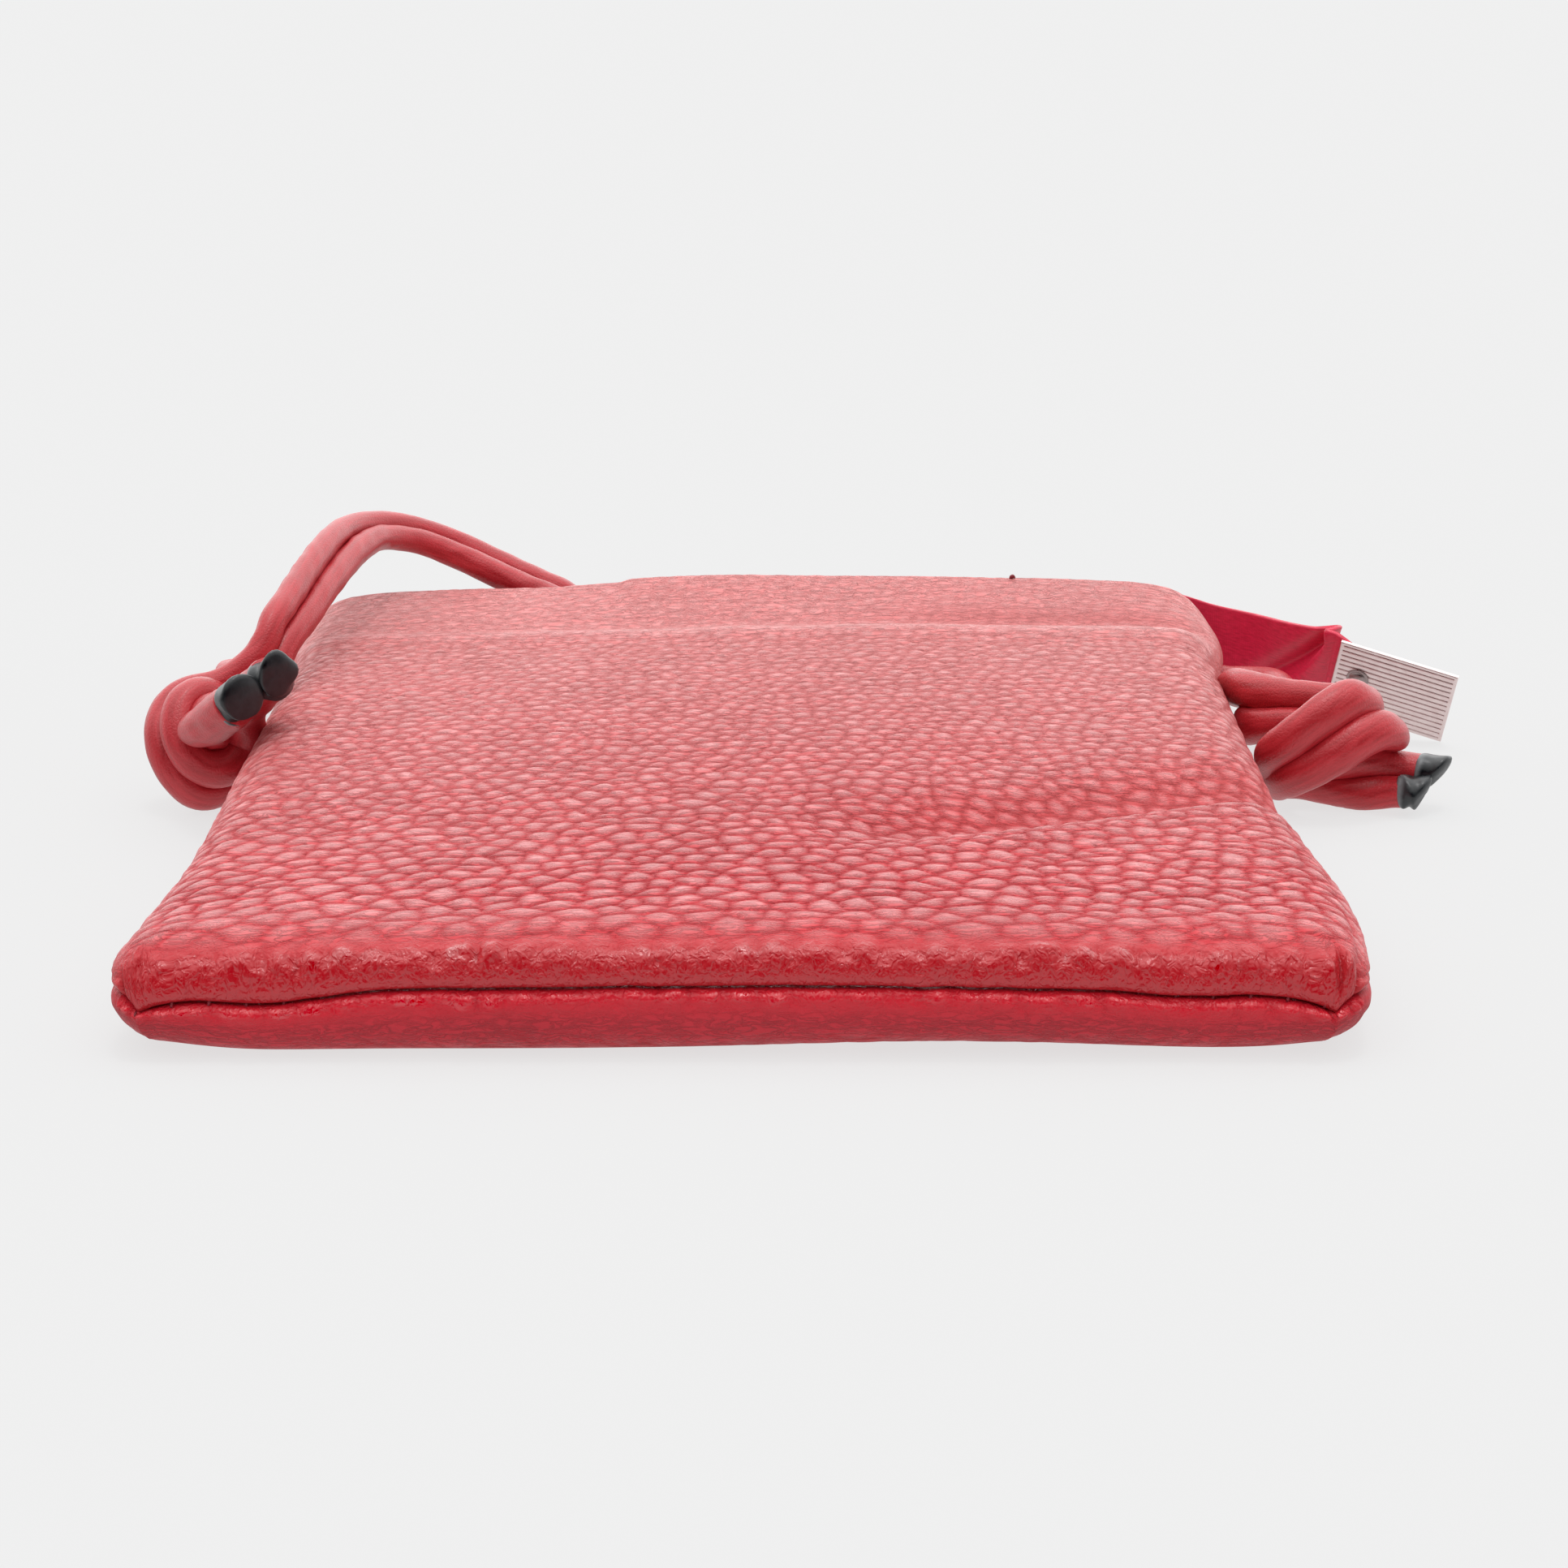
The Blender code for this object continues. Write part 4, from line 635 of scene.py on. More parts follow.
def makeStrands(cord):
    side, name = cord["side"], cord["name"]
    corner = Vector((side * pouch["mouthCorner"], pouch["mouthY"], 0))
    slotX = side * (float(halfWidth(pouch["mouthY"])) + laceShape["leave"] + laceShape["past"])
    slot = Vector((slotX, cord["slotY"], float(seamHeight(pouch["mouthCorner"], pouch["mouthY"]))))
    rows = cord["free"] + cord["tie"] + cord["tail"]
    swells = cord["freeSwell"][:1] * 2 + cord["freeSwell"] + cord["swell"]
    for number, strand in ((1, 1), (2, -1)):
        atSlot = slot + Vector((0, -strand * laceShape["spacing"] / 2, 0))
        places = [atSlot - Vector((side * laceShape["inside"], 0, 0)), atSlot]
        lies = [(0, -1, 0), (0, -1, 0)]
        for (middle, lie), swell in zip(rows, swells[2:]):
            # the two strands press on each other where the tie holds them
            tight = smoothStep(1.0, laceShape["pressed"], swell)
            held = laceShape["size"] * swell * laceShape["knotSpacing"]
            spacing = laceShape["spacing"] * (1 - tight) + held * tight
            apart = Vector(lie).normalized() * strand * float(spacing) / 2
            places.append(corner + Vector(middle) + apart)
            lies.append(lie)
        centres, beside, marks = drawRoute(places, lies, laceShape["step"])
        centres = easeRoute(centres, laceShape["ease"] / laceShape["step"])
        beside = easeRoute(beside, 2 * laceShape["ease"] / laceShape["step"])
        along = runLength(centres, 0)
        swell = np.interp(along / along[-1] * marks[-1], marks, swells)[:, None]
        tipFrom = along[-1] - dipShape["length"]
        kept = along <= tipFrom + dipShape["overlap"]
        uneven = lumps(int(kept.sum()), laceShape["seed"] + number + side, laceShape["lumps"])
        wide = laceShape["size"] / 2 * swell[kept] * uneven
        atTail = smoothStep(laceShape["tailFrom"], laceShape["tailFull"], along[-1] - along[kept])[:, None]
        roundness = laceShape["roundness"] * (1 - atTail) + cord["tailRound"] * atTail
        deep = laceShape["size"] / 2 * laceShape["flat"] * (1 + roundness * (swell[kept] - 1)) * uneven
        lacePiece = sweepTube(f"{name}_lace_{number}", centres[kept], beside[kept], along[kept], wide, deep,
                              laceLeather)
        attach(lacePiece, "root")
        nodes = [f"{name}_strand_{number}", f"{name}_tail_{number}"]
        if number == 1:
            nodes.append(f"{name}_knot")
        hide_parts(*nodes)
        # the dip: a closed sleeve with a thin rim at its start and a slanted, rounded end
        share = np.linspace(0, 1, dipShape["rings"])
        dipAlong = tipFrom + share * dipShape["length"]
        past = np.clip((share - dipShape["domeFrom"]) / dipShape["domeReach"], 0, 1)
        dome = np.sqrt(np.clip(1 - past ** dipShape["domePower"], 0.02, 1))
        lip = 1 - dipShape["lip"] * bell(share, 0.0, dipShape["lipSpread"])
        size = max(dipShape["size"], laceShape["size"] * cord["swell"][-1] * dipShape["overLace"])
        uneven = lumps(dipShape["rings"], dipShape["seed"] + number + side, dipShape["lumps"],
                       dipShape["lumpRing"], dipShape["lumpPace"])
        uneven = uneven * (dome * lip)[:, None]
        turn = np.arange(laceShape["sides"])[None, :] / laceShape["sides"] * 2 * math.pi
        skew = dipShape["slant"] * share[:, None] * np.cos(turn - cord["slantWay"]) * dome[:, None]
        rim = 1 - smoothStep(dipShape["rimFrom"], dipShape["rimTo"], share)
        dip = sweepTube(f"{name}_dip_{number}", readOff(dipAlong, along, centres),
                        readOff(dipAlong, along, beside), dipAlong, size / 2 * uneven,
                        size / 2 * dipShape["flat"] * uneven, rubberDip, {"dipRim": rim}, skew)
        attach(dip, "root")
        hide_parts(f"{name}_tip_{number}")
        length = float(along[kept][-1]) * mm
        strandLengths[f"{name}_lace_{number}"] = round(length, 4)


makeStrands(leftCord)
makeStrands(rightCord)
for side in ("left", "right"):
    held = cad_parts[f"{side}_drawcord_in_channel"]
    held.data.materials.clear()
    held.data.materials.append(heldLeather)
print("drawcords tied", strandLengths)

# leather panels: one grid each, over the top, round the turned edge and into the seam

# coarse is how many outer cells one inner cell spans, and shy how far the inner face stays under the outer.
# Between the heights of pressed the table flattens the pebbles, and over those of offTable the lift fades.
panel = {
    "flatColumns": 216, "flatRows": 240, "nearRow": 0.50, "farRow": 0.78, "rollSteps": 38, "grooveSteps": 6,
    "flangeSteps": 2, "lipSteps": 4, "coarse": 4, "shy": 0.9, "floorGap": 0.02,
    "pressed": (0.5, 2.5), "offTable": (3.0, 8.0),
}
# what differs between the two halves: how high the pebbles stand, the row of tucks along the seam, and how
# far from the seam the polish fades
frontHalf = {"sign": 1, "height": topHeight, "pebbleSeed": 11, "relief": 1.0, "tuckCentre": 5.4,
             "tuckSpread": 1.9, "tuckDepth": 1.0, "tuckRow": 2, "polishReach": (9.5, 5.5)}
backHalf = {"sign": -1, "height": underHeight, "pebbleSeed": 12, "relief": 0.7, "tuckCentre": 2.0,
            "tuckSpread": 1.1, "tuckDepth": 0.6, "tuckRow": 0, "polishReach": (5.5, 1.5)}
# pebbles: their pitch at the bottom edge and at the mouth, how uneven it is, the slope beside a crease, their
# height, and where they start and are full over the side seams and over the bottom seam
pebble = {
    "near": 4.2, "far": 2.8, "edgeMore": 0.9, "edgeReach": 26.0, "turn": 8.0, "uneven": 0.37, "slope": 1.9,
    "rounding": 4.5, "power": 1.6, "relief": 0.42, "vary": 0.45, "mean": 0.62, "warp": 0.9, "warpSize": 9.0,
    "starts": (2.5, 5.4), "full": (6.0, 10.4), "ragged": 1.6, "raggedSize": 5.0, "seamBlend": 4.0,
    "flatter": 0.45, "flatterAt": 10.0, "flatterSpread": 6.0, "mouthFlatter": 0.78, "mouthReach": 10.0,
}
# the tucks that the bottom stitches pull into the turned edge
pucker = {
    "pitch": 4.4, "height": 1.2, "power": 0.7, "mean": 0.35, "drift": 0.4, "driftSize": 8.0, "vary": 0.7,
    "varySize": 5.0, "sway": 0.5, "swaySize": 6.0, "crinkle": 0.32, "crinkleSize": 1.1,
}
pleat = {
    "notch": 3.6, "first": 1.2, "spacing": 1.6, "depth": 0.85, "width": 0.5, "widen": 0.15, "turnIn": 8.0,
    "fade": 20.0, "startFrom": 0.3, "startFull": 2.5, "lines": 5, "strength": {-1: 0.5, 1: 1.0},
    "smooth": 0.8, "smoothReach": 14.0, "smoothFrom": 13.0, "smoothFull": 5.0,
}
# soft waves of the front, as depth, size and seed, and the ridge, hollow and short step under the mouth
relief = {
    "waves": ((0.4, 26.0, 3), (0.18, 11.0, 4)), "waveFrom": 6.0, "waveFull": 16.0,
    "inlandFrom": 4.0, "inlandFull": 12.0, "ridge": 1.2, "ridgeShort": 2.5, "ridgeSpread": 3.6,
    "hollow": 0.4, "hollowMore": 0.35, "hollowTo": 45.0, "hollowPast": 3.0, "hollowSpread": 3.0,
    "step": 0.5, "stepX": (-24.0, -21.0), "stepY": (80.0, 88.0),
}
# how hands and turning have worn the finish, and where shade and highlight are painted (the hollows darker,
# the crease's ridge and the left and right paler), as shares of the polish and of the grain's tops
wearAndPaintedLight = {
    "tucks": 0.5, "tuckTops": 0.9, "right": 0.9, "leftMore": 0.1, "leftFrom": 20.0, "leftFull": -50.0,
    "even": 0.8, "patch": 0.2, "patchSize": 2.2, "edge": 0.8, "edgeSide": 0.4, "edgeBottom": 0.6,
    "hollow": 0.2, "mouthHollowShade": 0.15, "mouthPast": 6.0, "mouthSpread": 4.5, "mouthFrom": (5.0, 45.0),
    "mouthTo": (80.0, 66.0), "grain": 0.55, "grainFlat": 0.5, "grainFlatSpread": 8.0, "grainPleated": 0.6,
    "grainEdge": 0.14, "grainEdgeAt": 9.0, "grainEdgeSpread": 7.0, "grainMouth": 0.5, "ridge": 0.35,
    "ridgeSpread": 2.6, "ridgeX": (-70.0, -20.0), "grainHollowShade": 0.22, "grainMouthHollowShade": 0.3,
    "left": 0.1, "leftX": (0.0, -60.0), "rightSide": 0.05, "rightX": (20.0, 60.0),
}


# distance from each place to the nearest border between pebbles, and one random number for each pebble
def pebbleField(u, v, seed):
    turn = math.radians(pebble["turn"])
    # rows of a triangular grid lie this share of its pitch apart
    rowShare = math.sqrt(0.75)
    steps = np.linspace(pouch["bottomY"] - 20, pouch["mouthY"] + 10, 421)
    pitches = pebble["near"] + (pebble["far"] - pebble["near"]) * shareUp(steps)
    pitches += pebble["edgeMore"] * np.exp(-(steps - pouch["bottomY"]) / pebble["edgeReach"])
    climbs = np.cumsum((steps[1] - steps[0]) / pitches)
    pitch = np.interp(v, steps, pitches)
    climb = np.interp(v, steps, climbs)
    column = u / pitch
    a = column * math.cos(turn) + climb * math.sin(turn)
    b = (climb * math.cos(turn) - column * math.sin(turn)) / rowShare
    jitter = np.random.default_rng(seed).random((128, 128, 3)) - 0.5
    row = np.floor(b).astype(int)
    nearX, nearY, nearTone = [], [], []
    for dj in range(-2, 3):
        j = row + dj
        shift = 0.5 * (j % 2)
        column = np.floor(a - shift).astype(int)
        for di in range(-2, 3):
            i = column + di
            drawn = jitter[i % 128, j % 128]
            nearX.append((i + shift + 0.5 + drawn[..., 0] * 2 * pebble["uneven"] - a) * pitch)
            nearY.append((j + 0.5 + drawn[..., 1] * 2 * pebble["uneven"] - b) * pitch * rowShare)
            nearTone.append(drawn[..., 2])
    nearX, nearY, nearTone = np.array(nearX), np.array(nearY), np.array(nearTone)
    first = (nearX ** 2 + nearY ** 2).argmin(0)[None]
    ownX, ownY = np.take_along_axis(nearX, first, 0), np.take_along_axis(nearY, first, 0)
    apartX, apartY = nearX - ownX, nearY - ownY
    apart = np.hypot(apartX, apartY)
    apart[apart < 0.001] = np.inf
    edge = ((nearX + ownX) / 2 * apartX + (nearY + ownY) / 2 * apartY) / apart
    edge[apart == np.inf] = np.inf
    # a soft minimum rounds the corners of the cells
    soft = -np.log(np.exp(-pebble["rounding"] * np.minimum(edge, 50)).sum(0)) / pebble["rounding"]
    return np.maximum(soft, 0), np.take_along_axis(nearTone, first, 0)[0]


# one coordinate of a curve between a circle, at 2, and a square corner
def rounded(value, fullness):
    return max(value, 0.0) ** (2 / fullness)


# section of the turned edge: distance inside the outline and height from the seam
def edgeSection(rise, gap, slot, step, fullness, grid):
    ellipse, groove = grid["rollSteps"], grid["grooveSteps"]
    bulge = gap + pouch["groove"]
    if step <= ellipse:
        angle = math.pi / 2 * (1 - step / ellipse)
        inside = 1 - rounded(math.cos(angle), fullness)
        return pouch["roll"] * inside, bulge + (rise - bulge) * rounded(math.sin(angle), fullness)
    if step <= ellipse + groove:
        angle = math.pi / 2 * (step - ellipse) / groove
        return pouch["groove"] * (1 - math.cos(angle)), bulge - pouch["groove"] * math.sin(angle)
    share = (step - ellipse - groove) / grid["flangeSteps"]
    flange = pouch["allowance"] * (1 - slot) + pouch["slotRim"] * slot
    return pouch["groove"] + flange * share, gap + 0 * rise


# the undisturbed outer surface of one half, as a grid of rows and columns
def layBase(height, sign, grid):
    edgeSteps = grid["rollSteps"] + grid["grooveSteps"] + grid["flangeSteps"]
    fullness = pouch["edgeFullness"] if sign > 0 else pouch["underFullness"]
    run = np.concatenate([[0], np.cumsum(np.linspace(grid["nearRow"], grid["farRow"], grid["flatRows"]))])
    firstRow = pouch["bottomY"] + pouch["roll"]
    flatY = firstRow + run / run[-1] * (pouch["mouthY"] - firstRow)
    flatShare = np.linspace(-1, 1, grid["flatColumns"] + 1)
    rows = len(flatY) + edgeSteps
    columns = len(flatShare) + 2 * edgeSteps
    flat = slice(edgeSteps, edgeSteps + len(flatShare))
    points = np.zeros((rows, columns, 3))
    bottomGap = float(halfGap(pouch["bottomY"]))
    bottomSlot = float(slotOpening(pouch["bottomY"]))
    for j in range(rows):
        bottomStep = max(0, edgeSteps - j)
        y = flatY[max(0, j - edgeSteps)]
        reach = float(halfWidth(y)) - pouch["roll"]
        x = float(sway(y)) + flatShare * reach
        level = np.full_like(x, y)
        if bottomStep == 0:
            points[j, flat] = np.stack([x, level, height(x, level)], 1)
        else:
            seam = seamHeight(x, np.full_like(x, pouch["bottomY"]))
            rise = sign * (height(x, level) - seam)
            inside, up = edgeSection(rise, bottomGap, bottomSlot, bottomStep, fullness, grid)
            points[j, flat] = np.stack([x, np.full_like(x, pouch["bottomY"] + inside), seam + sign * up], 1)
        for step in range(edgeSteps, 0, -1):
            # at the corners the two edges meet in a rounded turn
            far = max(step, bottomStep)
            if step >= bottomStep:
                angle = math.pi / 4 * bottomStep / step
            else:
                angle = math.pi / 2 - math.pi / 4 * step / bottomStep
            across = rounded(math.cos(angle), pouch["cornerFullness"]) * pouch["roll"]
            down = rounded(math.sin(angle), pouch["cornerFullness"]) * pouch["roll"]
            for side, column in ((-1, edgeSteps - step), (1, columns - 1 - edgeSteps + step)):
                innerX = float(sway(y)) + side * reach
                baseX, baseY = innerX + side * across, y - down
                seam = float(seamHeight(baseX, baseY))
                rise = sign * (float(height(innerX, y)) - seam)
                gap, slot = float(halfGap(baseY)), float(slotOpening(baseY))
                inside, up = edgeSection(rise, gap, slot, far, fullness, grid)
                share = inside / pouch["roll"]
                points[j, column] = (baseX + (innerX - baseX) * share, baseY + (y - baseY) * share,
                                     seam + sign * up)
    # the mouth's corners slope back and down
    corner = smoothStep(pouch["cornerFrom"], pouch["halfWidth"], np.abs(points[..., 0]))
    corner = corner * smoothStep(pouch["creaseY"] - pouch["cornerReach"], pouch["mouthY"], points[..., 1])
    points[..., 1] -= pouch["cornerBack"] * corner
    points[..., 2] -= np.maximum(sign, 0) * pouch["cornerDown"] * corner
    # the right side stands out round the slot, where the cord is drawn through
    nearSide = smoothStep(pouch["mouthSideFrom"], pouch["mouthCorner"], points[..., 0])
    nearSlot = bell(points[..., 1], pouch["mouthSideAt"], pouch["mouthSideSpread"])
    points[..., 0] += pouch["mouthSide"] * nearSide * nearSlot
    # the right bottom corner is drawn in
    corner = smoothStep(pouch["pullFrom"], pouch["halfWidth"], points[..., 0])
    points[..., 0] -= pouch["pull"] * corner * bell(points[..., 1], pouch["bottomY"], pouch["pullSpread"])
    return points


def surfaceNormals(points, sign):
    normals = np.cross(np.gradient(points, axis=1), np.gradient(points, axis=0)) * sign
    size = np.linalg.norm(normals, axis=2)
    size[size < 1e-9] = 1
    return normals / size[:, :, None]


# length along the hide from the middle column and from the mouth row, so that the grain runs round the edge
def hidePlaces(points):
    rows, columns = points.shape[:2]
    across = runLength(points[rows * 2 // 3], 0)
    down = runLength(points[:, columns // 2], 0)
    u = np.repeat((across - across[columns // 2])[None, :], rows, 0)
    v = np.repeat((down - down[-1] + pouch["mouthY"])[:, None], columns, 1)
    return u, v


# pleats: lines that start in the corner notch and run up along the side
def addPleats(lift, fromBottom, side, fromEdge, onSide):
    upSide = np.maximum(0, fromBottom)
    for k in range(pleat["lines"]):
        away = pleat["first"] + k * pleat["spacing"] - pleat["notch"]
        line = pleat["notch"] + away * (1 - np.exp(-upSide / pleat["turnIn"]))
        near = bell(fromEdge, line, pleat["width"] * (1 + pleat["widen"] * k))
        fade = np.exp(-upSide / pleat["fade"]) * smoothStep(pleat["startFrom"], pleat["startFull"], upSide)
        lift -= pleat["depth"] * pleat["strength"][side] * near * fade * onSide


# the front's soft waves, and the ridge, hollow and short step under the mouth
def addFrontRelief(lift, u, v, x, y, fromSeam, fromSide):
    wave = sum(depth * softNoise(u, v, size, seed) for depth, size, seed in relief["waves"])
    lift += wave * smoothStep(relief["waveFrom"], relief["waveFull"], fromSeam)
    inland = smoothStep(relief["inlandFrom"], relief["inlandFull"], fromSide)
    lift += relief["ridge"] * bell(v, pouch["creaseY"] - relief["ridgeShort"], relief["ridgeSpread"]) * inland
    hollow = relief["hollow"] + relief["hollowMore"] * smoothStep(0.0, relief["hollowTo"], x)
    lift -= hollow * bell(v, pouch["creaseY"] + relief["hollowPast"], relief["hollowSpread"]) * inland
    lift += relief["step"] * smoothStep(*relief["stepX"], x) * smoothStep(*relief["stepY"], y) * inland


# the leather turns over at the mouth, round half its own thickness
def turnLip(points, inward):
    ahead = points[-1] - points[-2]
    ahead /= np.linalg.norm(ahead, axis=1)[:, None]
    rows = []
    for k in range(1, panel["lipSteps"] + 1):
        angle = math.pi * k / panel["lipSteps"]
        turned = ahead * math.sin(angle) + inward * (1 - math.cos(angle))
        rows.append(points[-1] + turned * pouch["leather"] / 2)
    return np.array(rows)


# faces of a shell: the fine outer grid, the coarser inner one, and the rim that joins them on all four sides
def shellFaces(rows, columns, innerRows, innerColumns):
    step, start = panel["coarse"], rows * columns
    faces = gridFaces(rows, columns) + gridFaces(innerRows, innerColumns, start)
    top = start + (innerRows - 1) * innerColumns
    for c in range(innerColumns - 1):
        low = [c * step + k for k in range(step + 1)]
        faces.append(tuple(low + [start + c + 1, start + c]))
        high = [(rows - 1) * columns + c * step + k for k in range(step + 1)]
        faces.append(tuple(high + [top + c + 1, top + c]))
    for column, innerColumn in ((0, 0), (columns - 1, innerColumns - 1)):
        for r in range(innerRows - 1):
            side = [(r * step + k) * columns + column for k in range(step + 1)]
            inner = [start + (r + 1) * innerColumns + innerColumn, start + r * innerColumns + innerColumn]
            faces.append(tuple(side + inner))
        side = [r * columns + column for r in range((innerRows - 1) * step, rows)]
        faces.append(tuple(side + [top + innerColumn]))
    return faces


# a value for each point of the outer face, of the lip and of the coarser inner face
def overShell(outside, inside):
    lip = np.repeat(outside[-1:], panel["lipSteps"], 0)
    inner = np.broadcast_to(inside, outside.shape)[::panel["coarse"], ::panel["coarse"]][:-1]
    return np.concatenate([outside.ravel(), lip.ravel(), inner.ravel()])


def dressPanel(name, half, material, node):
    sign = half["sign"]
    base = layBase(half["height"], sign, panel)
    normals = surfaceNormals(base, sign)
    u, v = hidePlaces(base)
    x, y = base[..., 0], base[..., 1]
    # length from the seam up the turned edge, where there is one
    fromBottom = v - v[panel["flangeSteps"], 0]
    fromEdge = {-1: u - u[0, panel["flangeSteps"]], 1: u[0, -1 - panel["flangeSteps"]] - u}
    fromSide = np.minimum(fromEdge[-1], fromEdge[1])
    fromSeam = np.minimum(np.maximum(fromBottom, 0), np.maximum(fromSide, 0))
    bottomShare = smoothStep(-pebble["seamBlend"], pebble["seamBlend"], fromSide - fromBottom)
    towardsMouth = smoothStep(pouch["creaseY"] - pebble["mouthReach"], pouch["creaseY"], v)
    # pebbles
    warpU = u + pebble["warp"] * softNoise(u, v, pebble["warpSize"], 5)
    warpV = v + pebble["warp"] * softNoise(u, v, pebble["warpSize"], 6)
    edge, tone = pebbleField(warpU, warpV, half["pebbleSeed"])
    dome = 1 - (1 - np.clip(edge / pebble["slope"], 0, 1)) ** pebble["power"]
    ragged = pebble["ragged"] * softNoise(u, 0 * v, pebble["raggedSize"], 15)
    starts, full = [(bottom + ragged) * bottomShare + beside * (1 - bottomShare)
                    for beside, bottom in (pebble["starts"], pebble["full"])]
    mask = smoothStep(starts, full, fromSeam)
    # the pleats stretch the grain flat beside the corners
    stretched = smoothStep(pleat["smoothFrom"], pleat["smoothFull"], fromSide)
    pleated = np.exp(-np.maximum(0, fromBottom) / pleat["smoothReach"]) * stretched
    flatter = 1 - pebble["flatter"] * bell(fromBottom, pebble["flatterAt"], pebble["flatterSpread"])
    flatter = flatter * (1 - pebble["mouthFlatter"] * towardsMouth)
    flatter = flatter * (1 - pleat["smooth"] * pleated)
    mask = mask * half["relief"]
    rise = pebble["relief"] * (1 + pebble["vary"] * tone * 2) * flatter
    lift = rise * (dome - pebble["mean"]) * mask
    # rounded tucks with a sharp dip between them, on either side of the stitches
    drift = pucker["drift"] * softNoise(u, 0 * v, pucker["driftSize"], 7)
    beat = np.abs(np.cos(math.pi * (u / pucker["pitch"] + drift)))
    vary = 1 + pucker["vary"] * softNoise(u, 0 * v + half["tuckRow"], pucker["varySize"], 8)
    tuck = (beat ** pucker["power"] - pucker["mean"]) * vary
    centre = half["tuckCentre"] + pucker["sway"] * softNoise(u, 0 * v, pucker["swaySize"], 13)
    row = bell(fromBottom, centre, half["tuckSpread"]) * bottomShare
    lift += pucker["height"] * half["tuckDepth"] * tuck * row
    lift += pucker["crinkle"] * softNoise(u, v, pucker["crinkleSize"], 14) * row
    if sign > 0:
        for side in (-1, 1):
            addPleats(lift, fromBottom, side, fromEdge[side], x * side > 0)
        addFrontRelief(lift, u, v, x, y, fromSeam, fromSide)
    else:
        # what lies on the table is pressed flat
        lift = lift * smoothStep(*panel["pressed"], base[..., 2])
    points = base + normals * lift[..., None]
    if sign < 0:
        # the bottom corners stand a little off the table
        fromCorner = np.hypot(pouch["halfWidth"] - np.abs(x), y - pouch["bottomY"])
        low = 1 - smoothStep(*panel["offTable"], points[..., 2])
        points[..., 2] += pouch["cornerLift"] * bell(fromCorner, 0.0, pouch["cornerLiftSpread"]) * low
        points[..., 2] = np.maximum(points[..., 2], panel["floorGap"])
    outer = np.concatenate([points, turnLip(points, -normals[-1])])
    under = np.minimum(-pouch["leather"], lift - panel["shy"])
    inner = (base + normals * under[..., None])[::panel["coarse"], ::panel["coarse"]][:-1]
    # the turned edge is polished, most on the tops of its tucks
    worn = wearAndPaintedLight["right"] + wearAndPaintedLight["leftMore"] * smoothStep(wearAndPaintedLight["leftFrom"], wearAndPaintedLight["leftFull"], x)
    polishAndShade = np.clip(row * (wearAndPaintedLight["tucks"] + wearAndPaintedLight["tuckTops"] * beat), 0, 1) * worn
    polishAndShade = polishAndShade * (wearAndPaintedLight["even"] + wearAndPaintedLight["patch"] * softNoise(u, v, wearAndPaintedLight["patchSize"], 9))
    turnedEdge = wearAndPaintedLight["edge"] * smoothStep(*half["polishReach"], fromSeam)
    polishAndShade = np.maximum(polishAndShade, turnedEdge * (wearAndPaintedLight["edgeSide"] + wearAndPaintedLight["edgeBottom"] * bottomShare))
    flatGrain = bell(fromBottom, pebble["flatterAt"], wearAndPaintedLight["grainFlatSpread"])
    # the grain's top share sets the colour ramp, so it paints the tops paler (painted highlight) and the
    # creases darker (painted shade)
    grainTop = (dome - wearAndPaintedLight["grain"]) * mask * (1 - wearAndPaintedLight["grainFlat"] * flatGrain)
    grainTop = grainTop * (1 - wearAndPaintedLight["grainPleated"] * pleated)
    grainTop = grainTop - wearAndPaintedLight["grainEdge"] * bell(fromBottom, wearAndPaintedLight["grainEdgeAt"], wearAndPaintedLight["grainEdgeSpread"])
    grainTop = wearAndPaintedLight["grain"] + grainTop * (1 - wearAndPaintedLight["grainMouth"] * towardsMouth)
    if sign > 0:
        # painted shade: the fold's hollow and the hollow behind the mouth's crease are painted darker and
        # deeper red; painted highlight: the crease's ridge is painted palest
        foldHollowShade = np.clip(-foldRelief(x, y) / pouch["hollow"], 0, 1)
        mouthHollowShade = bell(v, pouch["creaseY"] + wearAndPaintedLight["mouthPast"], wearAndPaintedLight["mouthSpread"])
        mouthHollowShade = mouthHollowShade * smoothStep(*wearAndPaintedLight["mouthFrom"], x) * smoothStep(*wearAndPaintedLight["mouthTo"], x)
        polishAndShade = np.maximum(polishAndShade, wearAndPaintedLight["hollow"] * foldHollowShade + wearAndPaintedLight["mouthHollowShade"] * mouthHollowShade)
        ridge = bell(v, pouch["creaseY"] - relief["ridgeShort"], wearAndPaintedLight["ridgeSpread"])
        grainTop += wearAndPaintedLight["ridge"] * ridge * smoothStep(*wearAndPaintedLight["ridgeX"], x)
        grainTop -= wearAndPaintedLight["grainHollowShade"] * foldHollowShade + wearAndPaintedLight["grainMouthHollowShade"] * mouthHollowShade
        # the tops are painted paler towards the left and towards the right side
        paler = wearAndPaintedLight["left"] * smoothStep(*wearAndPaintedLight["leftX"], x)
        paler = paler + wearAndPaintedLight["rightSide"] * smoothStep(*wearAndPaintedLight["rightX"], x)
        grainTop += paler * mask
    attributes = {
        "hidePlace": np.stack([overShell(u, u), overShell(v, v), overShell(np.zeros_like(u), 0.0)], axis=1),
        "grainTop": overShell(grainTop, 0.5),
        "edgePolish": np.clip(overShell(polishAndShade, 0.0), 0, 1),
    }
    allPoints = np.concatenate([outer.reshape(-1, 3), inner.reshape(-1, 3)])
    faces = shellFaces(*outer.shape[:2], *inner.shape[:2])
    piece = makePiece(name, allPoints, faces, material, attributes, outward=True)
    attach(piece, "root")
    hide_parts(node)


dressPanel("front_leather", frontHalf, frontLeather, "front_panel")
print("front leather laid")
dressPanel("back_leather", backHalf, backLeather, "back_panel")
print("back leather laid")

